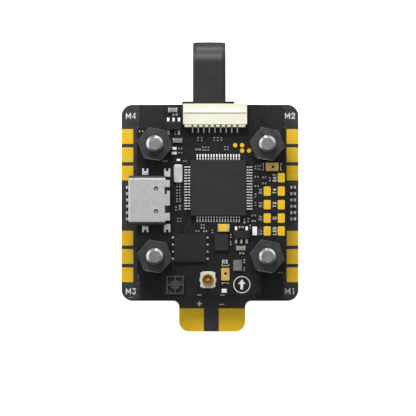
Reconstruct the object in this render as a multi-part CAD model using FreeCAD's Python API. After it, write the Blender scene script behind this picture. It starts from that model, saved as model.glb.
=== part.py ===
import FreeCAD, Part
import math
import os

# Flight stack: a cross-shaped flight controller on rubber grommets above a four-motor speed-controller
# board, held by four M3 screws on a 20 mm square and joined by a short ribbon lead.
# Millimetres. The origin is on the screw pattern's axis, in the plane under the screw heads.
# +X points away from the USB socket, +Y towards the ribbon lead, +Z up.

# Driving dimensions -----------------------------------------------------------------------------

HOLE_PITCH = 20.0
HOLE_R = 2.0
THREAD_R = 1.5
THREAD_ROOT_R = 1.25
TIP_CHAMFER = 0.4
SCREW_LENGTH = 16.0
HEAD_R = 2.85
HEAD_H = 1.65
SOCKET_AF = 2.0
SOCKET_DEPTH = 0.9
NUT_AF = 5.5
NUT_H = 2.4
NUT_TURN = -10.0

GROMMET_R = 2.55
GROMMET_BORE_R = 1.6
GROMMET_WEB_R = 1.98
BOTTOM_FLANGE = 1.6
SPACER_FLANGE = 2.5
TOP_FLANGE = 1.5

ESC_T = 1.6
ESC_LEFT = -16.15
ESC_RIGHT = 15.75
ESC_TOP_Y = 17.25
ESC_BOTTOM_Y = -18.15
ESC_CORNER_R = 2.0
TAB_LEFT = -5.75
TAB_RIGHT = 6.15
TAB_END_Y = -23.67
TAB_CORNER_R = 1.75
TAB_ROOT_R = 1.1

FC_T = 1.2
FC_HALF_X = 13.3
FC_HALF_Y = 13.1
TONGUE_LEFT = -8.6
TONGUE_RIGHT = 8.9
TONGUE_HALF_Y = 17.1
FC_CORNER_R = 0.5
FC_INNER_R = 0.8

PAD_T = 0.05
GAP = 0.1

HEADER_PITCH = 1.0
HEADER_H = 2.95
HEADER_MOUTH_Y = 17.2
FC_HEADER_X = 0.7
FC_HEADER_PINS = 9
ESC_HEADER_X = -0.5
ESC_HEADER_PINS = 8
FC_PLUG_END_Y = 17.22
ESC_PLUG_END_Y = 17.77

RIBBON_X = -0.33
RIBBON_W = 5.85
RIBBON_T = 1.1
RIBBON_END_Y = 28.35

BUTTON_TRAVEL = 0.12

# Heights worked out from the stack-up
SEAT_Z = HEAD_H
ESC_Z0 = SEAT_Z + BOTTOM_FLANGE
ESC_Z1 = ESC_Z0 + ESC_T
SPLIT_Z = ESC_Z1 + SPACER_FLANGE
FC_Z0 = SPLIT_Z + SPACER_FLANGE
FC_Z1 = FC_Z0 + FC_T
NUT_Z0 = FC_Z1 + TOP_FLANGE
NUT_Z1 = NUT_Z0 + NUT_H
TIP_Z = SEAT_Z + SCREW_LENGTH

HOLES = [(sx * HOLE_PITCH / 2, sy * HOLE_PITCH / 2) for sx in (-1, 1) for sy in (-1, 1)]

V = FreeCAD.Vector
UP = V(0, 0, 1)


# Helpers ----------------------------------------------------------------------------------------


def keep(node, shapes):
    """Write every solid of these shapes as one sub-part."""
    solids = [solid for shape in shapes for solid in shape.Solids]
    if not solids or not all(solid.isValid() for solid in solids):
        raise ValueError(f"{node} has no valid solids")
    Part.makeCompound(solids).exportStep(f"parts/{node}.step")


def block(cx, cy, z, lx, ly, h):
    """A block centred on (cx, cy) that stands on the plane z."""
    return Part.makeBox(lx, ly, h, V(cx - lx / 2, cy - ly / 2, z))


def span(x0, x1, y0, y1, z0, z1):
    """A block between two corners."""
    return Part.makeBox(x1 - x0, y1 - y0, z1 - z0, V(x0, y0, z0))


def drum(cx, cy, z, radius, h):
    return Part.makeCylinder(radius, h, V(cx, cy, z))


def corner_arc(before, here, after):
    """Start, middle and end of the tangent arc that rounds one corner (x, y, radius)."""
    corner = V(here[0], here[1])
    to_before = (V(before[0], before[1]) - corner).normalize()
    to_after = (V(after[0], after[1]) - corner).normalize()
    half = to_before.getAngle(to_after) / 2
    inward = (to_before + to_after).normalize()
    radius = here[2]
    reach = radius / math.tan(half)
    middle = corner + inward * (radius / math.sin(half) - radius)
    return corner + to_before * reach, middle, corner + to_after * reach


def rounded_face(corners):
    """A flat face at z = 0 with corners (x, y, radius), rounded by tangent arcs."""
    count = len(corners)
    arcs = [corner_arc(corners[i - 1], corners[i], corners[(i + 1) % count]) for i in range(count)]
    edges = []
    for i, (start, middle, end) in enumerate(arcs):
        if corners[i][2] > 0:
            edges.append(Part.Arc(start, middle, end).toShape())
        following = arcs[(i + 1) % count][0]
        if (following - end).Length > 1e-6:
            edges.append(Part.makeLine(end, following))
    return Part.Face(Part.Wire(edges))


def box_corners(x0, x1, y0, y1, radius):
    return [(x0, y0, radius), (x1, y0, radius), (x1, y1, radius), (x0, y1, radius)]


def prism(corners, z, h):
    """A rounded outline raised from the plane z."""
    solid = rounded_face(corners).extrude(V(0, 0, h))
    solid.translate(V(0, 0, z))
    return solid


def slab(cx, cy, z, lx, ly, h, radius):
    """A block with rounded upright edges, centred on (cx, cy)."""
    corners = box_corners(cx - lx / 2, cx + lx / 2, cy - ly / 2, cy + ly / 2, radius)
    return prism(corners, z, h)


def eased(solid, z, size, flat):
    """Ease the edges of a solid that lie in the plane z, with a chamfer if flat and a round if not."""
    edges = [e for e in solid.Edges if all(abs(v.Z - z) < 1e-6 for v in e.Vertexes)]
    if flat:
        return solid.makeChamfer(size, edges)
    return solid.makeFillet(size, edges)


def turned(profile, cx=0.0, cy=0.0):
    """A solid of revolution about a vertical axis from its (radius, z) outline."""
    points = [V(radius, 0, z) for radius, z in profile]
    solid = Part.Face(Part.makePolygon(points + points[:1])).revolve(V(0, 0, 0), UP, 360)
    solid.translate(V(cx, cy, 0))
    return solid


def placed(shape, cx, cy, z, turn=0.0):
    """A copy of a shape drawn at the origin, turned about +Z and moved into place."""
    copy = shape.copy()
    copy.rotate(V(0, 0, 0), UP, turn)
    copy.translate(V(cx, cy, z))
    return copy


def gull_lead(reach, rise, foot, width, thick):
    """A gull-wing lead that leaves a package at x = 0, drops to the board and ends at x = reach."""
    slope = 0.3 * (reach - foot)
    shoulder = reach - foot - slope
    points = [
        V(0, 0, rise),
        V(shoulder, 0, rise),
        V(reach - foot, 0, 0),
        V(reach, 0, 0),
        V(reach, 0, thick),
        V(reach - foot + thick / 2, 0, thick),
        V(shoulder + thick / 2, 0, rise + thick),
        V(0, 0, rise + thick),
    ]
    lead = Part.Face(Part.makePolygon(points + points[:1])).extrude(V(0, width, 0))
    lead.translate(V(0, -width / 2, 0))
    return lead


# Boards -----------------------------------------------------------------------------------------


def esc_outline():
    """Speed-controller board: a rounded rectangle with a battery tab at its -Y end."""
    return [
        (ESC_LEFT, ESC_BOTTOM_Y, ESC_CORNER_R),
        (TAB_LEFT, ESC_BOTTOM_Y, TAB_ROOT_R),
        (TAB_LEFT, TAB_END_Y, TAB_CORNER_R),
        (TAB_RIGHT, TAB_END_Y, TAB_CORNER_R),
        (TAB_RIGHT, ESC_BOTTOM_Y, TAB_ROOT_R),
        (ESC_RIGHT, ESC_BOTTOM_Y, ESC_CORNER_R),
        (ESC_RIGHT, ESC_TOP_Y, ESC_CORNER_R),
        (ESC_LEFT, ESC_TOP_Y, ESC_CORNER_R),
    ]


def fc_outline():
    """Flight-controller board: a band through the screws and a tongue at each end."""
    return [
        (-FC_HALF_X, -FC_HALF_Y, FC_CORNER_R),
        (TONGUE_LEFT, -FC_HALF_Y, FC_INNER_R),
        (TONGUE_LEFT, -TONGUE_HALF_Y, FC_CORNER_R),
        (TONGUE_RIGHT, -TONGUE_HALF_Y, FC_CORNER_R),
        (TONGUE_RIGHT, -FC_HALF_Y, FC_INNER_R),
        (FC_HALF_X, -FC_HALF_Y, FC_CORNER_R),
        (FC_HALF_X, FC_HALF_Y, FC_CORNER_R),
        (TONGUE_RIGHT, FC_HALF_Y, FC_INNER_R),
        (TONGUE_RIGHT, TONGUE_HALF_Y, FC_CORNER_R),
        (TONGUE_LEFT, TONGUE_HALF_Y, FC_CORNER_R),
        (TONGUE_LEFT, FC_HALF_Y, FC_INNER_R),
        (-FC_HALF_X, FC_HALF_Y, FC_CORNER_R),
    ]


def drilled(corners, z, h):
    """A board with the four screw holes."""
    return prism(corners, z, h).cut([drum(x, y, z, HOLE_R, h) for x, y in HOLES])


def motor_pads():
    """Three gold pads per motor, flush with the long edges, on both faces of the lower board."""
    length, width = 2.12, 2.66
    rows = (11.5, 8.2, 4.9, -6.85, -10.15, -13.45)
    pads = []
    for z in (ESC_Z1, ESC_Z0 - PAD_T):
        for x in (ESC_LEFT + length / 2, ESC_RIGHT - length / 2):
            pads += [block(x, y, z, length, width, PAD_T) for y in rows]
    return pads


def battery_pads():
    """Two large gold pads that follow the rounded end of the battery tab, on both faces."""
    inner_left, inner_right, top_y = -1.3, 1.4, -19.5
    pads = []
    for z in (ESC_Z1, ESC_Z0 - PAD_T):
        skin = prism(esc_outline(), z, PAD_T)
        for x0, x1 in ((TAB_LEFT, inner_left), (inner_right, TAB_RIGHT)):
            pads.append(skin.common(span(x0, x1, TAB_END_Y, top_y, z, z + PAD_T)))
    return pads


def solder_pads():
    """Nine gold wire pads in two columns along the +X edge of the upper board."""
    length, width, corner_r = 1.27, 1.68, 0.22
    inner_x, outer_x = 10.03, 12.55
    rows = (4.03, 1.62, -0.8, -3.2, -5.5)
    places = [(inner_x, y) for y in rows[1:]] + [(outer_x, y) for y in rows]
    return [slab(x, y, FC_Z1, length, width, PAD_T, corner_r) for x, y in places]


def test_pads():
    """Four round probe pads."""
    radius = 0.39
    places = [(4.3, 9.83), (5.55, 9.83), (5.55, 8.87), (6.8, 8.87)]
    return [drum(x, y, FC_Z1, radius, PAD_T) for x, y in places]


# Fasteners --------------------------------------------------------------------------------------


def hexagon(across_flats, turn):
    """The six corners of a hexagon centred on the origin."""
    radius = across_flats / math.sqrt(3)
    angles = [math.radians(turn + 60 * i) for i in range(6)]
    return [V(radius * math.cos(a), radius * math.sin(a)) for a in angles]


def hex_prism(across_flats, turn, z, h):
    points = hexagon(across_flats, turn)
    solid = Part.Face(Part.makePolygon(points + points[:1])).extrude(V(0, 0, h))
    solid.translate(V(0, 0, z))
    return solid


def screw():
    """Button-head M3 screw: root diameter inside the stack, full thread above the nut."""
    crown_r = 1.7
    profile = [
        (0, 0),
        (crown_r, 0),
        (HEAD_R - 0.3, 0.45),
        (HEAD_R, 1.05),
        (HEAD_R, SEAT_Z),
        (THREAD_ROOT_R, SEAT_Z),
        (THREAD_ROOT_R, NUT_Z1),
        (THREAD_R, NUT_Z1),
        (THREAD_R, TIP_Z - TIP_CHAMFER),
        (THREAD_R - TIP_CHAMFER, TIP_Z),
        (0, TIP_Z),
    ]
    return turned(profile).cut(hex_prism(SOCKET_AF, 0, 0, SOCKET_DEPTH))


def nut():
    """M3 hex nut with both faces chamfered and a countersunk bore."""
    corner_r = NUT_AF / math.sqrt(3)
    face_r = corner_r - 0.14
    drop = 0.14
    sink_r, sink = 1.62, 0.3
    envelope = [
        (THREAD_ROOT_R, NUT_Z0),
        (face_r, NUT_Z0),
        (corner_r + 0.02, NUT_Z0 + drop),
        (corner_r + 0.02, NUT_Z1 - drop),
        (face_r, NUT_Z1),
        (sink_r, NUT_Z1),
        (THREAD_ROOT_R, NUT_Z1 - sink),
    ]
    return turned(envelope).common(hex_prism(NUT_AF, NUT_TURN, NUT_Z0, NUT_H))


def grommet(bottom, board_z0, board_z1, top):
    """A rubber grommet: a flange below the board, a web in its hole and a flange above it."""
    ease = 0.3
    profile = [
        (GROMMET_BORE_R, bottom),
        (GROMMET_R - ease, bottom),
        (GROMMET_R, bottom + ease),
        (GROMMET_R, board_z0),
        (GROMMET_WEB_R, board_z0),
        (GROMMET_WEB_R, board_z1),
        (GROMMET_R, board_z1),
        (GROMMET_R, top - ease),
        (GROMMET_R - ease, top),
        (GROMMET_BORE_R, top),
    ]
    return turned(profile)


# Packages ---------------------------------------------------------------------------------------


def make_mcu():
    """Main processor: a 10 mm square package with sixteen gull-wing leads on each side."""
    cx, cy, size, h, lift = 1.28, 2.17, 10.0, 1.4, 0.1
    pitch, per_side, reach = 0.5, 16, 1.0
    body = eased(slab(cx, cy, FC_Z1 + lift, size, size, h, 0.15), FC_Z1 + lift + h, 0.12, True)
    dot = drum(cx - 4.0, cy - 4.0, FC_Z1 + lift + h - 0.06, 0.42, 0.1)
    keep("mcu_package", [body.cut(dot)])
    lead = gull_lead(reach, 0.7, 0.55, 0.24, 0.14)
    leads = []
    for side in range(4):
        for i in range(per_side):
            row = lead.copy()
            row.translate(V(size / 2, (i - (per_side - 1) / 2) * pitch, 0))
            leads.append(placed(row, cx, cy, FC_Z1, 90 * side))
    keep("mcu_leads", leads)


def make_regulators():
    """Two five-lead voltage regulators, each with three leads on one side and two on the other."""
    length, width, lift, h = 2.9, 1.6, 0.08, 1.05
    pitch = 0.95
    lead = gull_lead(0.62, 0.5, 0.4, 0.42, 0.14)
    package = eased(block(0, 0, lift, length, width, h), lift + h, 0.15, True)
    bodies, leads = [], []
    for cx, cy, turn in ((5.42, -6.2, 180), (-6.7, 13.25, 0)):
        bodies.append(placed(package, cx, cy, FC_Z1, turn))
        for side, offsets in ((90, (-pitch, 0, pitch)), (-90, (-pitch, pitch))):
            for offset in offsets:
                one = placed(lead, 0, 0, 0, side)
                one.translate(V(offset, math.copysign(width / 2, side), 0))
                leads.append(placed(one, cx, cy, FC_Z1, turn))
    keep("regulators", bodies)
    keep("regulator_leads", leads)


def make_flash():
    """Log memory: a flat 6 x 5 mm package with four contacts along each short side."""
    cx, cy, length, width, h = -3.73, -8.53, 5.76, 5.0, 0.8
    pitch, contact, gap = 1.27, 0.22, 0.14
    body = slab(cx, cy, FC_Z1, length, width, h, 0.08)
    dot = drum(cx - 2.4, cy + 1.9, FC_Z1 + h - 0.05, 0.3, 0.1)
    keep("flash_chip", [body.cut(dot)])
    contacts = []
    for side in (-1, 1):
        for i in range(4):
            x = cx + side * (length / 2 + gap + contact / 2)
            y = cy + (i - 1.5) * pitch - 0.06
            foot = block(x, y, FC_Z1, contact, 0.34, 0.16)
            web = block(x - side * (contact + gap) / 2, y, FC_Z1, gap, 0.26, 0.08)
            contacts.append(foot.fuse(web))
    keep("flash_contacts", contacts)


def make_small_packages():
    """The motion sensor, the two timing parts and the white indicator lamps."""
    gyro = eased(slab(1.85, -7.5, FC_Z1, 2.5, 3.0, 0.83, 0.1), FC_Z1 + 0.83, 0.05, True)
    keep("gyro_sensor", [gyro.cut(drum(0.95, -6.35, FC_Z1 + 0.79, 0.16, 0.1))])
    can = slab(-5.87, 4.77, FC_Z1 + 0.12, 1.55, 3.25, 0.7, 0.35)
    foot = slab(-5.87, 4.77, FC_Z1, 1.4, 3.0, 0.12, 0.2)
    keep("crystal_can", [eased(can, FC_Z1 + 0.82, 0.12, False).fuse(foot)])
    lid = eased(slab(4.75, -11.67, FC_Z1 + 0.3, 1.45, 1.85, 0.3, 0.12), FC_Z1 + 0.6, 0.05, True)
    keep("oscillator_can", [slab(4.75, -11.67, FC_Z1, 1.6, 2.0, 0.3, 0.08).fuse(lid)])
    lamps = [
        (7.8, -5.5, 0.82, 1.55, 0.55),
        (2.35, -16.2, 0.9, 0.7, 0.4),
        (-6.55, 9.25, 0.75, 0.5, 0.4),
        (-6.6, 8.4, 0.9, 0.5, 0.4),
        (-5.85, 7.2, 0.62, 0.42, 0.35),
    ]
    keep("status_lamps", [slab(x, y, FC_Z1, lx, ly, h, 0.06) for x, y, lx, ly, h in lamps])


def make_tantalum():
    """Moulded supply capacitor with a metal band at each end."""
    x0, x1, cy, width, h = 1.24, 3.24, -4.93, 1.38, 0.95
    left_band, right_band = 0.1, 0.3
    y0, y1, top_z = cy - width / 2, cy + width / 2, FC_Z1 + h
    body = span(x0 + left_band, x1 - right_band, y0, y1, FC_Z1, top_z)
    keep("tantalum_capacitor", [eased(body, top_z, 0.06, True)])
    low, inset = 0.06, 0.04
    ends = [
        span(x0, x0 + left_band, y0 + inset, y1 - inset, FC_Z1, top_z - low),
        span(x1 - right_band, x1, y0 + inset, y1 - inset, FC_Z1, top_z - low),
    ]
    keep("tantalum_ends", ends)


# Length, width, height and the length of each plated end
CHIP_SIZES = {
    "small": (0.66, 0.28, 0.28, 0.17),
    "medium": (0.85, 0.4, 0.38, 0.17),
    "large": (1.62, 0.84, 0.72, 0.24),
}


def chip_part(cx, cy, z, turn, size):
    """A two-terminal chip: its body and its two plated ends."""
    length, width, h, band = CHIP_SIZES[size]
    ease = 0.03
    body = block(0, 0, 0, length - 2 * band, width - 2 * ease, h - ease)
    ends = [block(side * (length - band) / 2, 0, 0, band, width, h) for side in (-1, 1)]
    return placed(body, cx, cy, z, turn), [placed(end, cx, cy, z, turn) for end in ends]


FC_CERAMICS = [
    (-6.85, 16.12, 0, "large"),
    (-6.0, 10.67, 0, "large"),
    (5.33, -8.57, 0, "large"),
    (-6.45, 15.28, 0, "medium"),
    (5.5, -9.5, 0, "medium"),
    (5.4, -4.85, 0, "medium"),
    (-4.65, 6.95, 0, "small"),
    (-2.3, 9.05, 0, "medium"),
    (1.87, 10.93, 90, "small"),
    (-1.5, -4.47, 0, "small"),
    (-1.5, -4.99, 0, "small"),
    (-1.05, -5.58, 0, "small"),
    (-6.08, 0.0, 90, "small"),
    (-5.55, 0.0, 90, "small"),
    (-5.58, -1.33, 90, "medium"),
    (3.52, -6.4, 90, "small"),
    (3.52, -7.7, 90, "small"),
    (5.95, -10.95, 90, "small"),
    (5.95, -12.35, 90, "small"),
    (5.95, -3.7, 90, "medium"),
    (7.93, 5.85, 90, "small"),
    (9.55, 4.05, 0, "small"),
    (7.65, -3.75, 0, "small"),
    (-8.2, 7.0, 0, "small"),
    (-6.4, 12.05, 90, "small"),
]

FC_RESISTORS = [
    (-5.5, 9.2, 0),
    (-5.5, 8.45, 0),
    (-1.45, 9.2, 90),
    (-0.95, 9.2, 90),
    (-0.45, 9.2, 90),
    (-2.32, 10.92, 90),
    (-1.67, 10.92, 90),
    (0.55, 10.92, 90),
    (1.2, 10.92, 90),
    (2.47, 9.28, 90),
    (3.0, 9.28, 90),
    (-6.1, 2.63, 90),
    (-5.58, 2.63, 90),
    (-5.85, 1.77, 0),
    (-5.85, 1.22, 0),
    (-5.85, 0.73, 0),
    (-6.28, -1.5, 90),
    (-5.95, -3.53, 90),
    (-5.45, -3.53, 90),
    (-2.47, -5.55, 0),
    (0.25, -5.6, 90),
    (8.15, 4.15, 0),
    (10.5, 3.72, 90),
    (8.15, 2.5, 0),
    (7.93, 0.83, 90),
    (7.93, -0.67, 90),
    (6.65, -3.57, 90),
    (7.0, -4.75, 90),
    (7.65, -2.75, 0),
    (9.5, 3.0, 0),
]


def make_chips():
    """Ceramic capacitors and resistors on the upper board, with their plated ends."""
    ceramics, resistors, ends = [], [], []
    for x, y, turn, size in FC_CERAMICS:
        body, pair = chip_part(x, y, FC_Z1, turn, size)
        ceramics.append(body)
        ends += pair
    for x, y, turn in FC_RESISTORS:
        body, pair = chip_part(x, y, FC_Z1, turn, "small")
        resistors.append(body)
        ends += pair
    keep("ceramic_capacitors", ceramics)
    keep("chip_resistors", resistors)
    keep("chip_terminals", ends)


def make_inductor():
    """Shielded power inductor: a square ferrite frame with four pockets round a drum core."""
    cx, cy, lx, ly, h = -6.4, -15.15, 3.15, 3.3, 1.5
    rim, spoke, pocket, core_r = 0.26, 0.26, 0.8, 0.85
    frame = slab(cx, cy, FC_Z1, lx, ly, h, 0.1)
    hollow = block(cx, cy, FC_Z1 + h - pocket, lx - 2 * rim, ly - 2 * rim, pocket)
    cross = block(cx, cy, FC_Z1 + h - pocket, lx, spoke, pocket)
    cross = cross.fuse(block(cx, cy, FC_Z1 + h - pocket, spoke, ly, pocket))
    seat = drum(cx, cy, FC_Z1 + h - pocket, core_r, pocket)
    keep("inductor_frame", [frame.cut(hollow.cut(cross)).cut(seat)])
    keep("inductor_core", [eased(seat, FC_Z1 + h, 0.08, True)])


def make_antenna():
    """Miniature coaxial antenna socket: plastic base, gold outer ring and centre pin."""
    cx, cy, base_h, top = -0.58, -14.22, 0.45, 1.25
    body = slab(cx, cy, FC_Z1, 2.66, 2.66, base_h, 0.12)
    body = body.fuse(block(cx, cy, FC_Z1, 1.9, 3.0, base_h)).removeSplitter()
    base = eased(body, FC_Z1 + base_h, 0.05, True)
    for side in (-1, 1):
        base = base.fuse(block(cx + side * 1.38, cy, FC_Z1, 0.2, 0.7, 0.25))
    keep("antenna_base", [base])
    floor_z = FC_Z1 + base_h
    ring = turned(
        [
            (0.25, floor_z),
            (1.02, floor_z),
            (1.02, FC_Z1 + 0.85),
            (0.96, FC_Z1 + 0.95),
            (1.02, FC_Z1 + 1.05),
            (1.0, FC_Z1 + top),
            (0.86, FC_Z1 + top),
            (0.8, FC_Z1 + top - 0.08),
            (0.8, floor_z + 0.12),
            (0.25, floor_z + 0.12),
        ],
        cx,
        cy,
    )
    keep("antenna_ring", [ring])
    keep("antenna_pin", [eased(drum(cx, cy, floor_z, 0.2, 0.6), floor_z + 0.6, 0.1, False)])


# USB socket -------------------------------------------------------------------------------------

USB_X0 = -14.7
USB_X1 = -7.3
USB_Y = -0.03
USB_W = 8.8
USB_H = 3.2
USB_R = 0.7
USB_SHEET = 0.28


def usb_section(inset, x0, x1):
    """The socket's rounded cross-section, shrunk by inset, between two places along X."""
    low, high = USB_Y - USB_W / 2 + inset, USB_Y + USB_W / 2 - inset
    face = rounded_face(box_corners(low, high, inset, USB_H - inset, USB_R - inset))
    face.rotate(V(0, 0, 0), V(1, 0, 0), 90)
    face.rotate(V(0, 0, 0), UP, 90)
    solid = face.extrude(V(x1 - x0, 0, 0))
    solid.translate(V(x0, 0, FC_Z1))
    return solid


def make_usb():
    """Side-entry USB-C socket: folded shell, insulator, tongue, contacts and anchor feet."""
    back_x = -8.6
    top_z = FC_Z1 + USB_H
    shell = usb_section(0, USB_X0, USB_X1).cut(usb_section(USB_SHEET, USB_X0, USB_X1))
    sheet_z = top_z - USB_SHEET
    rear_cuts = [
        span(-8.12, USB_X1, 1.7, 2.3, sheet_z, top_z),
        span(-8.25, -7.92, 1.1, 2.3, sheet_z, top_z),
        span(-8.2, USB_X1, -2.25, -1.0, sheet_z, top_z),
        span(-8.12, USB_X1, 3.6, 5.0, FC_Z1, top_z),
        span(-8.12, USB_X1, -5.0, -3.65, FC_Z1, top_z),
        span(-8.12, USB_X1, -3.65, 3.6, FC_Z1, FC_Z1 + USB_SHEET),
    ]
    dimple_r, dimple_rise = 0.5, 0.33
    for y in (2.05, -2.0):
        rear_cuts.append(Part.makeSphere(dimple_r, V(-9.78, y, top_z + dimple_rise)))
    keep("usb_shell", [shell.cut(rear_cuts)])
    plug = usb_section(USB_SHEET, back_x, -7.5).cut(
        [span(-8.12, -7.4, 3.6, 5.0, FC_Z1, top_z), span(-8.12, -7.4, -5.0, -3.65, FC_Z1, top_z)]
    )
    keep("usb_insulator", [plug])
    mid_z = FC_Z1 + USB_H / 2
    tongue_w, tongue_t, tongue_tip = 6.7, 0.7, USB_X0 + 1.3
    tongue = span(tongue_tip, back_x, USB_Y - tongue_w / 2, USB_Y + tongue_w / 2, mid_z - tongue_t / 2,
                  mid_z + tongue_t / 2)
    keep("usb_tongue", [tongue])
    contacts = []
    for i in range(12):
        y = USB_Y + (i - 5.5) * 0.5
        for z in (mid_z + tongue_t / 2, mid_z - tongue_t / 2 - 0.04):
            contacts.append(span(tongue_tip + 0.4, back_x, y - 0.14, y + 0.14, z, z + 0.04))
    keep("usb_contacts", contacts)
    feet = []
    outer_y, fork_y, fork, thick = 5.68, 5.2, 0.24, 0.18
    for side in (-1, 1):
        for x, inner in ((-11.75, 4.5), (-7.85, 4.2)):
            foot = span(x - 0.56, x + 0.56, inner, outer_y, FC_Z1, FC_Z1 + thick)
            foot = foot.cut(span(x - fork, x + fork, fork_y, outer_y, FC_Z1, FC_Z1 + thick))
            feet.append(foot if side > 0 else foot.mirror(V(0, USB_Y, 0), V(0, 1, 0)))
    keep("usb_anchor_feet", feet)


# Headers and the ribbon lead --------------------------------------------------------------------


def header_xs(cx, pins):
    return [cx + (i - (pins - 1) / 2) * HEADER_PITCH for i in range(pins)]


def header_pin(x, z):
    """A bent header pin: a straight blade in the mouth, a drop inside the rear wall and a foot."""
    blade_z, half = 1.45, 0.1
    drop_front_y, drop_back_y, toe_y = 13.55, 13.75, 12.18
    points = [
        (16.4, blade_z + half),
        (drop_front_y, blade_z + half),
        (drop_front_y, 0.2),
        (toe_y, 0.2),
        (toe_y, 0),
        (drop_back_y, 0),
        (drop_back_y, blade_z - half),
        (16.4, blade_z - half),
    ]
    wire = [V(x - half, y, z + height) for y, height in points]
    return Part.Face(Part.makePolygon(wire + wire[:1])).extrude(V(2 * half, 0, 0))


def make_header(node, cx, pins, z):
    """Side-entry header: a stepped housing with a toothed rear flange, and its bent pins."""
    half = (pins * HEADER_PITCH + 2.4) / 2
    mouth_half = (pins * HEADER_PITCH + 1.6) / 2
    tooth_y, back_y, step_y, wall_y = 13.0, 13.5, 15.6, 14.1
    low, rim, tooth_h, slot = 0.2, 0.13, 2.6, 0.17
    top_z = z + HEADER_H
    xs = header_xs(cx, pins)
    corners = [
        (cx - half, back_y, 0.15),
        (cx + half, back_y, 0.15),
        (cx + half, HEADER_MOUTH_Y, 0.1),
        (cx - half, HEADER_MOUTH_Y, 0.1),
    ]
    housing = prism(corners, z, HEADER_H)
    dip = [
        V(0, back_y, top_z),
        V(0, step_y, top_z),
        V(0, step_y - low, top_z - low),
        V(0, back_y, top_z - low),
    ]
    recess = Part.Face(Part.makePolygon(dip + dip[:1])).extrude(V(2 * (half - rim), 0, 0))
    recess.translate(V(cx - half + rim, 0, 0))
    teeth = span(cx - half + 0.3, cx + half - 0.3, tooth_y, back_y, z, z + tooth_h)
    housing = housing.cut(recess).fuse(eased(teeth, z + tooth_h, 0.12, True))
    mouth = span(cx - mouth_half, cx + mouth_half, wall_y, HEADER_MOUTH_Y, z + 0.45, z + 2.45)
    housing = housing.cut(mouth)
    housing = housing.cut([span(x - slot, x + slot, tooth_y, back_y, z, z + tooth_h) for x in xs])
    contacts = [header_pin(x, z) for x in xs]
    keep(node, [housing.cut(contacts)])
    keep(f"{node}_contacts", contacts)


def make_plug(node, cx, pins, z, end_y):
    """Plug housing that fills a header's mouth, with a square socket for each contact."""
    half = (pins * HEADER_PITCH + 1.6) / 2 - GAP
    front_y = 14.2
    body = span(cx - half, cx + half, front_y, end_y, z + 0.45 + GAP, z + 2.45 - GAP)
    sockets = [span(x - 0.25, x + 0.25, front_y, 16.7, z + 1.2, z + 1.7) for x in header_xs(cx, pins)]
    keep(node, [body.cut(sockets)])


def plug_contacts():
    """Crimped box contacts inside both plugs, each a sleeve round one header pin."""
    contacts = []
    for cx, pins, z in ((FC_HEADER_X, FC_HEADER_PINS, FC_Z1), (ESC_HEADER_X, ESC_HEADER_PINS, ESC_Z1)):
        for x in header_xs(cx, pins):
            sleeve = span(x - 0.25, x + 0.25, 14.4, 16.7, z + 1.2, z + 1.7)
            contacts.append(sleeve.cut(span(x - 0.18, x + 0.18, 14.4, 16.5, z + 1.27, z + 1.63)))
    return contacts


def ribbon():
    """Flat lead: out of the upper plug, round half a turn and back into the lower plug."""
    top_z = FC_Z1 + 1.45
    low_z = ESC_Z1 + 1.45
    bend_r = (top_z - low_z) / 2
    bend_y = RIBBON_END_Y - RIBBON_T / 2 - bend_r
    half, depth = RIBBON_W / 2, RIBBON_T / 2
    section = rounded_face(box_corners(RIBBON_X - half, RIBBON_X + half, -depth, depth, 0.35))
    section.rotate(V(0, 0, 0), V(1, 0, 0), 90)
    upper = section.copy()
    upper.translate(V(0, FC_PLUG_END_Y, top_z))
    lower = section.copy()
    lower.translate(V(0, ESC_PLUG_END_Y, low_z))
    bend = section.copy()
    bend.translate(V(0, bend_y, top_z))
    axis_z = (top_z + low_z) / 2
    run = upper.extrude(V(0, bend_y - FC_PLUG_END_Y, 0))
    back = lower.extrude(V(0, bend_y - ESC_PLUG_END_Y, 0))
    loop = bend.revolve(V(0, bend_y, axis_z), V(-1, 0, 0), 180)
    length = (bend_y - FC_PLUG_END_Y) + math.pi * bend_r + (bend_y - ESC_PLUG_END_Y)
    print("ribbon length", round(length, 2), "bend radius", round(bend_r, 2))
    whole = run.fuse([loop, back])
    print("ribbon volume over section x length", round(whole.Volume / (section.Area * length), 4))
    return whole


# Push buttons -----------------------------------------------------------------------------------


def make_button(name, cx, cy, turn):
    """Low tactile switch: base, pressed cover, snap dome and plunger. Returns its terminals."""
    base = slab(0, 0, 0, 2.35, 1.6, 0.22, 0.08).fuse(slab(0, 0, 0, 2.92, 1.1, 0.1, 0.05))
    cover = eased(slab(0, 0, 0.22, 2.25, 1.52, 0.38, 0.1), 0.6, 0.05, True)
    cover = cover.cut([slab(0, 0, 0.22, 1.75, 1.1, 0.25, 0.3), drum(0, 0, 0.22, 0.42, 0.4)])
    dome = turned(
        [
            (0, 0.34),
            (0.18, 0.335),
            (0.33, 0.295),
            (0.45, 0.22),
            (0.5, 0.22),
            (0.5, 0.25),
            (0.36, 0.33),
            (0.2, 0.38),
            (0, 0.39),
        ]
    )
    stem = turned([(0, 0.46), (0.24, 0.46), (0.24, 0.7), (0.17, 0.78), (0, 0.78)], 0.13, 0)
    plunger = drum(0, 0, 0.4, 0.48, 0.06).fuse(stem)
    for part, shape in (("base", base), ("cover", cover), ("dome", dome), ("plunger", plunger)):
        keep(f"{name}_{part}", [placed(shape, cx, cy, FC_Z1, turn)])
    terminals = []
    for side in (-1, 1):
        bar = span(1.46, 1.78, -0.66, 0.66, 0, 0.2).cut(span(1.6, 1.78, -0.5, 0.5, 0, 0.2))
        terminals.append(placed(bar, cx, cy, FC_Z1, turn + (0 if side > 0 else 180)))
    return terminals


# Speed-controller electronics -------------------------------------------------------------------


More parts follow.
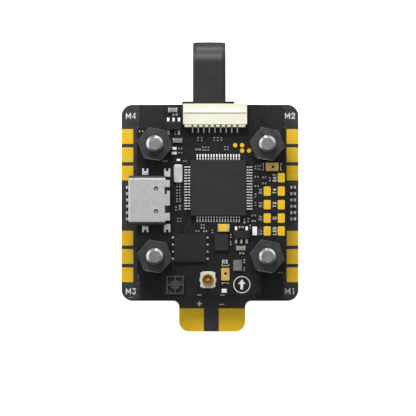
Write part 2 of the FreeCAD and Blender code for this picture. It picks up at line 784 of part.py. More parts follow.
def make_mosfets():
    """Power switches in a column beside each row of motor pads, on both faces."""
    body_x, lx, ly, h, lead_pitch = 10.5, 5.0, 4.4, 0.95, 1.15
    rows = (14.9, 4.75, 0.0, -4.75, -15.55)
    bodies, leads = [], []
    package = eased(slab(0, 0, 0, lx, ly, h, 0.1), h, 0.06, True)
    tab = block(-lx / 2 - 0.2, 0, 0, 0.4, ly - 0.4, 0.25)
    tab = tab.cut([block(-lx / 2 - 0.3, i * lead_pitch, 0, 0.2, 0.55, 0.25) for i in (-1, 0, 1)])
    fingers = [block(lx / 2 + 0.11, (i - 1.5) * lead_pitch, 0, 0.22, 0.36, 0.2) for i in range(4)]
    for side in (-1, 1):
        turn = 0 if side > 0 else 180
        for y in rows:
            for top in (True, False):
                z = ESC_Z1 if top else ESC_Z0
                for shape, into in [(package, bodies), (tab, leads)] + [(f, leads) for f in fingers]:
                    one = shape if top else shape.mirror(V(0, 0, 0), UP)
                    into.append(placed(one, side * body_x, y, z, turn))
    keep("esc_mosfets", bodies)
    keep("esc_mosfet_leads", leads)


def make_esc_chips():
    """One processor and one gate driver per motor, the current shunt and the capacitors."""
    chips = []
    for side in (-1, 1):
        for y in (8.6, -9.2):
            chips.append(slab(side * 3.3, y, ESC_Z1, 4.0, 4.0, 0.85, 0.05))
        for y in (3.4, -3.6):
            chips.append(slab(side * 3.3, y, ESC_Z1, 3.0, 3.0, 0.75, 0.05))
    keep("esc_processors", chips)
    shunt = span(-3.2, 3.2, -15.4, -12.4, ESC_Z1, ESC_Z1 + 0.65)
    keep("esc_current_shunt", [eased(shunt, ESC_Z1 + 0.65, 0.1, True)])
    bodies, ends = [], []

    def capacitor(x, y, z, turn, lx, ly, h, up):
        band = 0.24 * lx
        body = block(0, 0, 0, lx - 2 * band, ly - 0.05, h - 0.03)
        pair = [block(s * (lx - band) / 2, 0, 0, band, ly, h) for s in (-1, 1)]
        for shape, into in [(body, bodies)] + [(end, ends) for end in pair]:
            one = shape if up else shape.mirror(V(0, 0, 0), UP)
            into.append(placed(one, x, y, z, turn))

    for side in (-1, 1):
        for i in range(6):
            capacitor(side * 14.8, 2.3 - i * 1.14, ESC_Z1, 0, 1.0, 0.52, 0.5, True)
        for y in (13.6, 11.4, 6.0, 3.8, -4.0, -6.2, -11.6, -13.8):
            capacitor(side * 4.3, y, ESC_Z0, 0, 3.2, 1.6, 1.25, False)
    keep("esc_capacitors", bodies)
    keep("esc_capacitor_ends", ends)


def make_underside_chips():
    """Radio receiver, video overlay and air-pressure chips under the upper board."""
    chips = []
    places = (
        (-2.2, -6.5, 5.0, 5.0, 0.9),
        (3.4, 5.2, 5.0, 5.0, 0.9),
        (-4.8, 6.4, 2.0, 2.5, 0.85),
    )
    for x, y, lx, ly, h in places:
        chips.append(slab(x, y, FC_Z0 - h, lx, ly, h, 0.06))
    keep("underside_chips", chips)


# The whole stack --------------------------------------------------------------------------------

os.makedirs("parts", exist_ok=True)

keep("esc_board", [drilled(esc_outline(), ESC_Z0, ESC_T)])
keep("esc_motor_pads", motor_pads())
keep("esc_battery_pads", battery_pads())
make_mosfets()
make_esc_chips()
make_header("esc_header", ESC_HEADER_X, ESC_HEADER_PINS, ESC_Z1)
keep("esc_grommets", [placed(grommet(SEAT_Z, ESC_Z0, ESC_Z1, SPLIT_Z), x, y, 0) for x, y in HOLES])

keep("fc_board", [drilled(fc_outline(), FC_Z0, FC_T)])
keep("fc_solder_pads", solder_pads())
keep("fc_test_pads", test_pads())
make_mcu()
make_regulators()
make_flash()
make_small_packages()
make_tantalum()
make_chips()
make_inductor()
make_antenna()
make_usb()
make_underside_chips()
make_header("fc_header", FC_HEADER_X, FC_HEADER_PINS, FC_Z1)
keep("fc_grommets", [placed(grommet(SPLIT_Z, FC_Z0, FC_Z1, NUT_Z0), x, y, 0) for x, y in HOLES])

terminals = make_button("fc_button", 10.9, 5.97, 0)
terminals += make_button("rx_button", 2.55, -13.25, 90)
keep("button_terminals", terminals)

make_plug("fc_plug", FC_HEADER_X, FC_HEADER_PINS, FC_Z1, FC_PLUG_END_Y)
make_plug("esc_plug", ESC_HEADER_X, ESC_HEADER_PINS, ESC_Z1, ESC_PLUG_END_Y)
keep("plug_contacts", plug_contacts())
keep("ribbon_lead", [ribbon()])

keep("screws", [placed(screw(), x, y, 0) for x, y in HOLES])
keep("nuts", [placed(nut(), x, y, 0) for x, y in HOLES])
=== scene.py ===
import math
import random

import bmesh
import bpy
from mathutils import Matrix, Vector


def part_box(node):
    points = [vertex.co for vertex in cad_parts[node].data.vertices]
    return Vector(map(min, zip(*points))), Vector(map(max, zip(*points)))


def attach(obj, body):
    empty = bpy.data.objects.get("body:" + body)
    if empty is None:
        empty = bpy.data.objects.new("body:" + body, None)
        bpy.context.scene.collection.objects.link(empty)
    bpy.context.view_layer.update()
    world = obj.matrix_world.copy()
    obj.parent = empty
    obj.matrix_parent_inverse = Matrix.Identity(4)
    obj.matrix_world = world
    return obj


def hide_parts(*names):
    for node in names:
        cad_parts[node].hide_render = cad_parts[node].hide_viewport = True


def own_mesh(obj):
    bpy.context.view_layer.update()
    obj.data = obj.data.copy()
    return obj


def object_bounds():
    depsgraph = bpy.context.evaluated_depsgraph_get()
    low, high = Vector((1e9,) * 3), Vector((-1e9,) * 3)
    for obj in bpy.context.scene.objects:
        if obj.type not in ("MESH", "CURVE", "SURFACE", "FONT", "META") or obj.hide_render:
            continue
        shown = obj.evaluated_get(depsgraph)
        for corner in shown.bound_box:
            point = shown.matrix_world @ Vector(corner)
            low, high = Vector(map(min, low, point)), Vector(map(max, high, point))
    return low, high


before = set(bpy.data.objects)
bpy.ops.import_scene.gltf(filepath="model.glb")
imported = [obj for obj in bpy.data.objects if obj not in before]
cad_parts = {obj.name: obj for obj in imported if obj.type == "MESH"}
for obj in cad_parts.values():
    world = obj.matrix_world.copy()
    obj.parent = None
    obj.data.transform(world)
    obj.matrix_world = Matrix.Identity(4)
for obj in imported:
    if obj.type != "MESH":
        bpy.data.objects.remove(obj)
cad_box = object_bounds()

# Metres throughout. Most places are worked out from the imported parts' own boxes; some are given in mm.

MM = 0.001
TINY = 0.01 * MM

FC_LOW, FC_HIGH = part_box("fc_board")
ESC_LOW, ESC_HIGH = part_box("esc_board")
SCREW_LOW, SCREW_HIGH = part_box("screws")
NUT_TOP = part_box("nuts")[1].z
BUTTONS = ("fc_button", "rx_button")


def mm(*values):
    """Each of these millimetres in metres."""
    return [value * MM for value in values]


def solid_boxes(node):
    """The lowest and highest corner of each separate solid of a CAD node."""
    bm = bmesh.new()
    bm.from_mesh(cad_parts[node].data)
    bmesh.ops.remove_doubles(bm, verts=bm.verts[:], dist=1e-7)
    seen = set()
    boxes = []
    for first in bm.verts:
        if first in seen:
            continue
        seen.add(first)
        corners, queue = [], [first]
        while queue:
            vert = queue.pop()
            corners.append(vert.co.copy())
            for edge in vert.link_edges:
                other = edge.other_vert(vert)
                if other not in seen:
                    seen.add(other)
                    queue.append(other)
        low, high = (Vector(pick(c[i] for c in corners) for i in range(3)) for pick in (min, max))
        boxes.append((low, high))
    bm.free()
    return sorted(boxes, key=lambda box: tuple(round(c, 6) for c in (box[0] + box[1])))


SCREW_AXES = [(low + high) / 2 for low, high in solid_boxes("nuts")]
HALF_PITCH = max(axis.x for axis in SCREW_AXES)


# ---- Materials


# How upright a face looks when it starts to count as a slope, and when it counts in full.
SLOPE_BAND = (0.985, 0.9)


def add_node(tree, kind, inputs=None, **settings):
    """Add a shader node. Each input is either another node's socket or a plain value."""
    node = tree.nodes.new("ShaderNode" + kind)
    for key, value in settings.items():
        setattr(node, key, value)
    for key, value in (inputs or {}).items():
        if isinstance(value, bpy.types.NodeSocket):
            tree.links.new(value, node.inputs[key])
        else:
            node.inputs[key].default_value = value
    return node


class Finish:
    """A procedural material, with short calls for the nodes that these finishes share."""

    def __init__(self, rough, metal=0.0, gloss=0.5, coat=0.0):
        self.material = bpy.data.materials.new("look")
        self.material.use_nodes = True
        self.tree = self.material.node_tree
        self.shader = self.tree.nodes["Principled BSDF"]
        for socket, value in (("Roughness", rough), ("Metallic", metal), ("Specular IOR Level", gloss),
                              ("Coat Weight", coat), ("Coat Roughness", 0.2)):
            self.shader.inputs[socket].default_value = value
        self.place = self.node("TexCoord").outputs["Object"]

    def node(self, kind, inputs=None, **settings):
        return add_node(self.tree, kind, inputs, **settings)

    def noise(self, size, detail=2.0, stretch=(1, 1, 1)):
        """Noise from 0 to 1 whose patches are about size metres across, longer where stretch is small."""
        place = self.node("Mapping", {"Vector": self.place, "Scale": stretch}).outputs[0]
        made = self.node("TexNoise", {"Vector": place, "Scale": 1 / size, "Detail": detail})
        return made.outputs["Fac"]

    def remap(self, value, low, high, new_low=0.0, new_high=1.0):
        names = ("Value", "From Min", "From Max", "To Min", "To Max")
        inputs = dict(zip(names, (value, low, high, new_low, new_high)))
        return self.node("MapRange", inputs).outputs[0]

    def maths(self, operation, a, b=0.0):
        return self.node("Math", {0: a, 1: b}, operation=operation).outputs[0]

    def times(self, a, b):
        return self.maths("MULTIPLY", a, b)

    def vector_maths(self, operation, a, b=None, output=0):
        inputs = {0: a} if b is None else {0: a, 1: b}
        return self.node("VectorMath", inputs, operation=operation).outputs[output]

    def mix(self, amount, a, b):
        """Colour a where amount is 0 and b where it is 1."""
        a, b = (value if isinstance(value, bpy.types.NodeSocket) else (*value, 1) for value in (a, b))
        return self.node("Mix", {"Factor": amount, 6: a, 7: b}, data_type="RGBA").outputs[2]

    def clouded(self, noise, dark, light):
        """The dark colour where the noise is low and the light one where it is high."""
        return self.mix(self.remap(noise, 0.35, 0.65), dark, light)

    def varied(self, noise, low, high):
        """A value that follows the noise from low to high."""
        return self.remap(noise, 0.3, 0.7, low, high)

    def eased_normal(self, radius):
        return self.node("Bevel", {"Radius": radius}, samples=4).outputs[0]

    def face_normal(self):
        return self.node("NewGeometry").outputs["Normal"]

    def facing(self, axis):
        """How squarely a face looks along axis 0, 1 or 2, from -1 to 1."""
        return self.node("SeparateXYZ", {0: self.face_normal()}).outputs[axis]

    def edges(self, radius):
        """1 on edges and corners, 0 on flats."""
        dot = self.vector_maths("DOT_PRODUCT", self.face_normal(), self.eased_normal(radius), "Value")
        return self.remap(dot, 0.995, 0.8)

    def level(self):
        """1 on faces that look up or down, 0 on upright ones."""
        return self.remap(self.maths("ABSOLUTE", self.facing(2)), 0.3, 0.7)

    def towards_x(self, low, high):
        """A value that goes from low to high as a face turns towards +X."""
        return self.remap(self.facing(0), 0.2, 0.5, low, high)

    def steep(self, lit_from_x=0.0, band=SLOPE_BAND):
        """0 on level faces and 1 on sloped and upright ones, less where they face +X when asked: the mask
        used to paint shade on sloped faces, with faces turned to +X painted as lit from that side.
        """
        slope = self.remap(self.maths("ABSOLUTE", self.facing(2)), *band)
        return self.times(slope, self.towards_x(1.0, 1.0 - lit_from_x))

    def connect(self, socket, value):
        self.tree.links.new(value, self.shader.inputs[socket])

    def finished(self, colour, rough, height, relief, ease):
        """The material with this colour and roughness, a relief of that depth and eased edges. Both in mm."""
        eased = self.eased_normal(ease * MM)
        bump = {"Height": height, "Distance": relief * MM, "Strength": 1.0, "Normal": eased}
        self.connect("Base Color", colour)
        self.connect("Roughness", rough)
        self.connect("Normal", self.node("Bump", bump).outputs[0])
        return self.material


def moulded(dark, light, rough, patch=2.5, grain=0.09, relief=0.004, ease=0.05, gloss=0.5, wear=None,
            metal=0.0, coat=0.0):
    """Soft patches of colour, a fine grain, eased edges and, where asked, paler edges. Sizes in mm."""
    made = Finish(rough, metal, gloss, coat)
    patches = made.noise(patch * MM, 3.0)
    grains = made.noise(grain * MM, 4.0)
    blend = made.maths("ADD", made.times(patches, 0.65), made.times(grains, 0.35))
    colour = made.clouded(blend, dark, light)
    if wear:
        rubbed = made.times(made.edges(1.4 * ease * MM), made.remap(patches, 0.3, 0.6))
        colour = made.mix(rubbed, colour, wear)
    return made.finished(colour, made.varied(grains, rough - 0.1, rough + 0.1), grains, relief, ease)


def laminate(mask_dark, mask_light, gloss):
    """Solder mask over copper on the faces, bare layered glass and epoxy on the cut edges."""
    made = Finish(0.42, gloss=gloss)
    patches = made.noise(1.6 * MM, 5.0)
    warp, weft = (made.noise(0.35 * MM, 1.0, stretch) for stretch in ((1, 0.25, 1), (0.25, 1, 1)))
    layers = made.noise(0.16 * MM, 1.0, (0.08, 0.08, 1))
    core = made.clouded(layers, (0.012, 0.011, 0.009), (0.06, 0.055, 0.045))
    colour = made.mix(made.level(), core, made.clouded(patches, mask_dark, mask_light))
    return made.finished(colour, made.varied(patches, 0.36, 0.5), made.times(warp, weft), 0.006, 0.04)


def plated(dark, light, rough, grain=0.05, relief=0.003, stretch=(1, 1, 1), ease=0.03, tarnish=None,
           metal=1.0, slope_shade=None, slope_rough=0.45, lit_from_x=0.0, band=SLOPE_BAND):
    """Metal plate: clouded colour, fine lines and, where asked, tarnish and painted shade on sloped faces
    (darker colour, changed roughness), with faces turned to +X painted as lit: less shade and less metal.
    Sizes in mm.
    """
    made = Finish(rough, metal)
    clouds = made.noise(1.2 * MM, 4.0)
    lines = made.noise(grain * MM, 3.0, stretch)
    colour = made.clouded(clouds, dark, light)
    if tarnish:
        specks = made.remap(made.noise(0.3 * MM, 6.0), 0.58, 0.72, 0.0, 0.6)
        colour = made.mix(specks, colour, tarnish)
    sheen = made.varied(lines, rough * 0.75, rough * 1.3)
    # Painted shade: sloped faces take the darker colour, less of it on faces painted as lit from +X.
    if slope_shade:
        colour = made.mix(made.steep(lit_from_x, band), colour, slope_shade)
        sheen = made.times(sheen, made.remap(made.steep(), 0.0, 1.0, 1.0, slope_rough))
    # Painted light: faces turned to +X lose their metal, so they show their pale colour as if lit from that
    # side.
    if lit_from_x:
        made.connect("Metallic", made.times(made.towards_x(1.0, 0.0), metal))
    return made.finished(colour, sheen, lines, relief, ease)


def fired(pale, dark):
    """Fired ceramic: pale on the upper board's tall bodies, dark on those that stay below a height."""
    step_z = FC_HIGH.z + 0.45 * MM
    made = Finish(0.4)
    patches = made.noise(0.5 * MM, 3.0)
    grains = made.noise(0.08 * MM, 4.0)
    height = made.node("SeparateXYZ", {0: made.place}).outputs[2]
    shade = made.mix(made.remap(height, step_z, step_z + 0.02 * MM), dark, pale)
    colour = made.mix(made.varied(patches, 0.0, 0.3), shade, (0.05, 0.04, 0.03))
    return made.finished(colour, made.varied(grains, 0.32, 0.48), grains, 0.003, 0.03)


def faced(dark, light, rough, metal=1.0, wear=None):
    """Turned metal: fine rings about each of the four screw axes, with rubbed edges where asked."""
    ring_pitch = 0.09 * MM
    made = Finish(rough, metal)
    folded = made.vector_maths("ABSOLUTE", made.place)
    offset = made.vector_maths("SUBTRACT", folded, (HALF_PITCH, HALF_PITCH, 0))
    radius = made.vector_maths("LENGTH", made.vector_maths("MULTIPLY", offset, (1, 1, 0)), output="Value")
    rings = made.maths("SINE", made.times(radius, 2 * math.pi / ring_pitch))
    grains = made.noise(0.07 * MM, 4.0)
    clouds = made.noise(0.9 * MM, 4.0)
    colour = made.clouded(clouds, dark, light)
    if wear:
        rubbed = made.times(made.edges(0.1 * MM), made.remap(clouds, 0.25, 0.6))
        colour = made.mix(rubbed, colour, wear)
    height = made.maths("ADD", made.times(rings, 0.5), made.times(grains, 0.5))
    return made.finished(colour, made.varied(grains, rough * 0.8, rough * 1.25), height, 0.003, 0.05)


def grey(value):
    return (value, value, value)


LOOKS = {
    # Named after the record's material slots.
    "esc_laminate": laminate((0.02, 0.0205, 0.022), (0.03, 0.031, 0.033), 0.45),
    "fc_laminate": laminate((0.005, 0.005, 0.0055), (0.0105, 0.0105, 0.011), 0.26),
    "gold_plating": plated((0.88, 0.55, 0.016), (0.93, 0.6, 0.02), 0.42, metal=0.45,
                           tarnish=(0.82, 0.5, 0.014)),
    "tinned_metal": plated((0.8, 0.8, 0.78), (0.95, 0.95, 0.94), 0.34, metal=0.55),
    "dome_steel": plated((0.6, 0.56, 0.48), (0.75, 0.71, 0.62), 0.25),
    "chip_resin": moulded((0.015, 0.015, 0.016), (0.022, 0.022, 0.023), 0.55, relief=0.006, gloss=0.3),
    "moulding_black": moulded(grey(0.006), grey(0.012), 0.5, gloss=0.3),
    "header_cream": moulded((0.75, 0.72, 0.57), (0.82, 0.79, 0.66), 0.42, relief=0.003),
    "socket_white": moulded((0.62, 0.6, 0.52), (0.75, 0.73, 0.65), 0.45),
    "can_metal": plated((0.6, 0.6, 0.61), (0.72, 0.72, 0.73), 0.4, metal=0.6),
    # Painted shade: the shell's rounded and upright sides take a near-black colour.
    "shell_steel": plated(grey(0.78), grey(0.84), 0.33, grain=0.04, stretch=(0.08, 1, 1), relief=0.001,
                          ease=0.05, slope_shade=grey(0.13), slope_rough=1.9, band=(0.998, 0.965)),
    "lamp_white": moulded((0.8, 0.8, 0.78), (0.9, 0.9, 0.88), 0.3, coat=0.4),
    "tantalum_yellow": moulded((0.7, 0.46, 0.03), (0.78, 0.53, 0.05), 0.38),
    "tantalum_band": moulded((0.5, 0.36, 0.27), (0.7, 0.6, 0.52), 0.35, patch=0.5, metal=0.3),
    "resistor_black": moulded((0.008, 0.008, 0.009), (0.02, 0.02, 0.022), 0.3, coat=0.3),
    "ferrite": moulded((0.022, 0.022, 0.024), (0.038, 0.038, 0.04), 0.55, relief=0.012, grain=0.12,
                       wear=grey(0.14)),
    "grommet_rubber": moulded(grey(0.01), grey(0.02), 0.6, ease=0.12, gloss=0.35),
    "lead_black": moulded(grey(0.015), grey(0.023), 0.42, ease=0.1, gloss=0.32),
    "screw_steel": faced(grey(0.34), grey(0.45), 0.3),
    "nut_black": faced((0.03, 0.03, 0.032), (0.05, 0.05, 0.052), 0.42, metal=0.3, wear=grey(0.22)),
    # For the few nodes and pieces that differ from their slot's usual look.
    "white_print": moulded((0.62, 0.62, 0.6), (0.8, 0.8, 0.78), 0.55, patch=0.4, gloss=0.3),
    "grey_print": moulded(grey(0.28), (0.4, 0.4, 0.39), 0.6, patch=0.4, gloss=0.2),
    "dull_tin": plated(grey(0.24), (0.5, 0.495, 0.48), 0.45, metal=0.4),
    # Painted shade on the leads' sloped faces, with those turned to +X painted as lit instead.
    "lead_tin": plated((0.8, 0.8, 0.79), (0.95, 0.95, 0.94), 0.34, metal=0.5, slope_shade=grey(0.05),
                       lit_from_x=1.0),
    "fired_ceramic": fired((0.3, 0.26, 0.21), (0.17, 0.14, 0.09)),
    # Painted highlight: pale gold without metal, so the button stems stay bright under any light.
    "stem_gold": plated((1.0, 0.84, 0.4), (1.0, 0.92, 0.6), 0.3, metal=0.0),
    "bracket_tin": plated(grey(0.38), (0.62, 0.62, 0.61), 0.4, metal=0.4),
    # Painted highlight on the top of the upper header.
    "ridge_white": moulded((0.86, 0.85, 0.8), (0.92, 0.91, 0.87), 0.4),
    # Painted highlight: the bright gold rim round each button stem.
    "rim_gold": plated((0.9, 0.62, 0.2), (1.0, 0.76, 0.32), 0.3, metal=0.0),
    # Partly painted shade: the dark cap on each button stem, dark also for the shade in its hole.
    "cap_black": moulded((0.004, 0.003, 0.002), (0.012, 0.009, 0.004), 0.35),
    # Painted shade: a dark tin for the lower board's MOSFET leads and solder, standing in for the shade under
    # the upper board.
    "dim_tin": plated(grey(0.05), grey(0.13), 0.5, metal=0.4),
    "dark_resin": moulded((0.009, 0.009, 0.0095), (0.014, 0.014, 0.015), 0.55, relief=0.006, gloss=0.27),
    "mosfet_resin": moulded((0.008, 0.008, 0.0085), (0.012, 0.012, 0.013), 0.5, relief=0.006, gloss=0.3),
    "bronze_gold": plated((0.3, 0.18, 0.03), (0.41, 0.25, 0.05), 0.34, tarnish=(0.25, 0.13, 0.02),
                          metal=0.7),
    "cover_gold": plated((0.7, 0.45, 0.12), (0.84, 0.56, 0.18), 0.36, tarnish=(0.45, 0.25, 0.05),
                         metal=0.5),
    "oscillator_lid": plated(grey(0.17), grey(0.27), 0.5, relief=0.008, metal=0.5),
    "fc_masked_copper": moulded((0.009, 0.009, 0.0095), (0.016, 0.016, 0.017), 0.4, patch=1.0, gloss=0.35),
    "esc_masked_copper": moulded((0.025, 0.0255, 0.027), (0.036, 0.037, 0.039), 0.4, patch=1.0),
    "barrel_pink": moulded((0.17, 0.12, 0.115), (0.27, 0.2, 0.19), 0.4, patch=0.6),
    "pale_end": plated((0.62, 0.54, 0.52), (0.88, 0.84, 0.82), 0.4, metal=0.2),
}
for look, material in LOOKS.items():
    material.name = look

# CAD nodes that do not have their slot's look.
NODE_LOOKS = {
    "chip_terminals": "dull_tin", "esc_mosfet_leads": "dim_tin", "mcu_leads": "lead_tin",
    "button_terminals": "bracket_tin", "esc_capacitor_ends": "pale_end", "antenna_ring": "bronze_gold",
    "fc_button_cover": "cover_gold", "rx_button_cover": "cover_gold", "fc_button_plunger": "stem_gold",
    "rx_button_plunger": "stem_gold", "esc_mosfets": "mosfet_resin", "regulators": "dark_resin",
    "flash_chip": "dark_resin", "oscillator_can": "oscillator_lid", "esc_capacitors": "barrel_pink",
    "ceramic_capacitors": "fired_ceramic",
}


# ---- CAD nodes: finishes and eased edges

# Edge rounding in mm, for the nodes whose sharp edges are far enough apart to be rounded as geometry.
ROUNDING = {
    0.015: ("esc_motor_pads", "esc_battery_pads", "fc_solder_pads"),
    0.02: ("chip_terminals", "ceramic_capacitors", "chip_resistors", "mcu_leads", "regulator_leads",
           "button_terminals"),
    0.03: ("esc_board", "fc_board", "esc_capacitors", "esc_capacitor_ends", "fc_plug", "esc_plug",
           "status_lamps", "tantalum_ends", "tantalum_capacitor", "inductor_frame", "regulators",
           "flash_chip", "flash_contacts", "underside_chips", "esc_processors", "usb_anchor_feet"),
    0.04: ("esc_current_shunt", "usb_tongue"),
    0.05: ("esc_header", "fc_header", "nuts"),
    0.06: ("usb_shell",),
}


def finish_cad_nodes():
    """Give every CAD node its finish, and round the edges of those in the table above."""
    radii = {name: radius for radius, names in ROUNDING.items() for name in names}
    flat, sharp = math.radians(1), math.radians(40)
    for name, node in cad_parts.items():
        slot = node.data.materials[0].name.split(".")[0]
        node.data.materials[0] = LOOKS[NODE_LOOKS.get(name, slot)]
        if name not in radii:
            continue
        bevel = {"width": radii[name] * MM, "segments": 2, "limit_method": "ANGLE", "angle_limit": sharp}
        for kind, settings in (("WELD", {"merge_threshold": 1e-6}),
                               ("DECIMATE", {"decimate_type": "DISSOLVE", "angle_limit": flat}),
                               ("BEVEL", bevel), ("WEIGHTED_NORMAL", {"keep_sharp": False})):
            modifier = node.modifiers.new(kind, kind)
            for key, value in settings.items():
                setattr(modifier, key, value)


# ---- Mesh helpers


def piece(name, bm, look, body="stack", smooth=40):
    """Turn a bmesh, drawn in the frame's metres, into a piece that rides on a body."""
    bmesh.ops.recalc_face_normals(bm, faces=bm.faces[:])
    mesh = bpy.data.meshes.new(name)
    bm.to_mesh(mesh)
    bm.free()
    mesh.materials.append(LOOKS[look])
    if smooth:
        mesh.shade_smooth()
        mesh.set_sharp_from_angle(angle=math.radians(smooth))
    made = bpy.data.objects.new(name, mesh)
    bpy.context.scene.collection.objects.link(made)
    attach(made, body)
    return made


def skin(bm, rings, closed=False):
    """Join rings of equal length with faces, and close both ends unless the rings run in a loop."""
    rows = [[bm.verts.new(point) for point in ring] for ring in rings]
    count = len(rows[0])
    pairs = list(zip(rows, rows[1:])) + ([(rows[-1], rows[0])] if closed else [])
    for low, high in pairs:
        for i in range(count):
            j = (i + 1) % count
            bm.faces.new((low[i], low[j], high[j], high[i]))
    if not closed:
        bm.faces.new(rows[0][::-1])
        bm.faces.new(rows[-1])


def circle(centre, radius, z, steps):
    """A level ring of points. The radius may be a number or a function of the angle."""
    points = []
    for i in range(steps):
        angle = 2 * math.pi * i / steps
        reach = radius(angle) if callable(radius) else radius
        points.append(Vector((centre[0] + reach * math.cos(angle), centre[1] + reach * math.sin(angle), z)))
    return points


def lathe(bm, centre, profile, steps):
    """A turned shape about a vertical axis, from (radius, height) pairs."""
    skin(bm, [circle(centre, radius, z, steps) for radius, z in profile])


def outline(low, high, grow, cut, z):
    """A level rectangle round a box, grown outward, with its corners cut off."""
    x0, x1, y0, y1 = low.x - grow, high.x + grow, low.y - grow, high.y + grow
    flat = [(x0 + cut, y0), (x1 - cut, y0), (x1, y0 + cut), (x1, y1 - cut),
            (x1 - cut, y1), (x0 + cut, y1), (x0, y1 - cut), (x0, y0 + cut)]
    return [Vector((x, y, z)) for x, y in flat]


def strip(bm, points, width, z0, z1, loop=False):
    """A flat strip of even width along level points, with mitred corners, from z0 up to z1."""
    sharpest = 0.4
    flat = [Vector(p[:2]) for p in points]
    count = len(flat)
    sides = []
    for i, here in enumerate(flat):
        before = flat[i - 1] if loop or i else None
        after = flat[(i + 1) % count] if loop or i < count - 1 else None
        first = (here - before).normalized() if before is not None else (after - here).normalized()
        second = (after - here).normalized() if after is not None else first
        along = (first + second).normalized()
        across = Vector((-along.y, along.x)) * (width / 2 / max(along.dot(first), sharpest))
        sides.append((here + across, here - across))
    rings = []
    for left, right in sides:
        rings.append([(*left, z0), (*right, z0), (*right, z1), (*left, z1)])
    skin(bm, rings, closed=loop)


def middle_of(low, high):
    return (low + high) / 2


# ---- Fasteners


def make_screws():
    """M3 button-head screws: domed head with a hexagon socket, and a rolled thread above the nut."""
    steps = 72
    pitch, crest, root = mm(0.5, 1.5, 1.23)
    root_width, flank_width = 0.75, 0.62
    rows_per_turn = 9
    head = (SCREW_HIGH.x - SCREW_LOW.x) / 2 - HALF_PITCH
    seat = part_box("esc_grommets")[0].z
    start, tip = NUT_TOP - 0.4 * MM, SCREW_HIGH.z
    drill_radius, drill_flat = mm(0.5, 0.25)
    chamfer, land, run_out_length, neck = mm(0.42, 0.06, 0.12, 0.15)
    crown, dome_height, dome_steps = 1.6 * MM, 1.15 * MM, 10
    socket_depth, socket_flat, socket_lip = mm(0.9, 1.0, 0.1)

    def hexagon(angle):
        return socket_flat / math.cos((angle + math.pi / 6) % (math.pi / 3) - math.pi / 6)

    def lip(angle):
        return hexagon(angle) + socket_lip

    def thread(z):
        def radius(angle):
            phase = abs(((z - start) / pitch - angle / (2 * math.pi)) % 1 - 0.5) * 2
            groove = min(max((root_width - phase) / flank_width, 0), 1)
            run_out = min(max((z - tip + chamfer) / run_out_length + 1, 0), 1)
            full = root + (crest - root) * max(groove, run_out)
            return min(full, crest - chamfer + (tip - z))
        return radius

    bm = bmesh.new()
    for axis in SCREW_AXES:
        profile = [(drill_flat, socket_depth + drill_flat), (drill_radius, socket_depth),
                   (hexagon, socket_depth), (hexagon, socket_lip), (lip, 0.0)]
        for i in range(dome_steps + 1):
            turn = math.pi / 2 * i / dome_steps
            profile.append((crown + (head - crown) * math.sin(turn), dome_height * (1 - math.cos(turn))))
        profile += [(head, seat - land), (head - land, seat), (root + neck, seat), (root, seat + neck),
                    (root, start)]
        rows = int(round((tip - start) / pitch * rows_per_turn))
        for i in range(1, rows):
            z = start + (tip - start) * i / rows
            profile.append((thread(z), z))
        profile += [(crest - chamfer, tip), (0.5 * (crest - chamfer), tip), (0.1 * MM, tip)]
        lathe(bm, axis, profile, steps)
    made = piece("machine_screws", bm, "screw_steel", smooth=35)
    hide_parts("screws")


# ---- Ribbon lead


def make_ribbon():
    """A flat sleeved lead with faint ridges over its eight wires, round half a turn between the plugs."""
    low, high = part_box("ribbon_lead")
    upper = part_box("fc_plug")
    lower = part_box("esc_plug")
    top_z = (upper[0].z + upper[1].z) / 2
    low_z = (lower[0].z + lower[1].z) / 2
    thick = 2 * (high.z - top_z)
    bend = (top_z - low_z) / 2
    bend_y = high.y - thick / 2 - bend
    centre_x, half = (low.x + high.x) / 2, (high.x - low.x) / 2
    wires, across = 8, 72
    side_power, face_power = 0.22, 0.42
    ridge_depth, ridged_share = 0.06, 0.97
    runs, turns = 10, 40

    def section(y, z, tilt):
        """A ring of points round the lead's line at (y, z), its upper face tilted by tilt from level."""
        points = []
        for i in range(across):
            angle = 2 * math.pi * i / across
            c, s = math.cos(angle), math.sin(angle)
            u = math.copysign(abs(c) ** side_power, c)
            v = math.copysign(abs(s) ** face_power, s)
            dip = (1 - math.cos(2 * math.pi * wires * (u + 1) / 2)) / 2 * (abs(u) < ridged_share)
            reach = v * thick / 2 * (1 - ridge_depth * dip)
            x = centre_x + u * half
            points.append(Vector((x, y + reach * math.sin(tilt), z + reach * math.cos(tilt))))
        return points

    rings = []
    for i in range(runs):
        rings.append(section(upper[1].y + (bend_y - upper[1].y) * i / runs, top_z, 0.0))
    for i in range(turns + 1):
        tilt = math.pi * i / turns
        rings.append(section(bend_y + bend * math.sin(tilt), low_z + bend + bend * math.cos(tilt), tilt))
    for i in range(1, runs + 1):
        rings.append(section(bend_y + (lower[1].y - bend_y) * i / runs, low_z, math.pi))
    bm = bmesh.new()
    skin(bm, rings)
    made = piece("ribbon_sleeve", bm, "lead_black", body="harness", smooth=50)
    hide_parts("ribbon_lead")


# ---- Printed marks

PRINT = 0.03 * MM

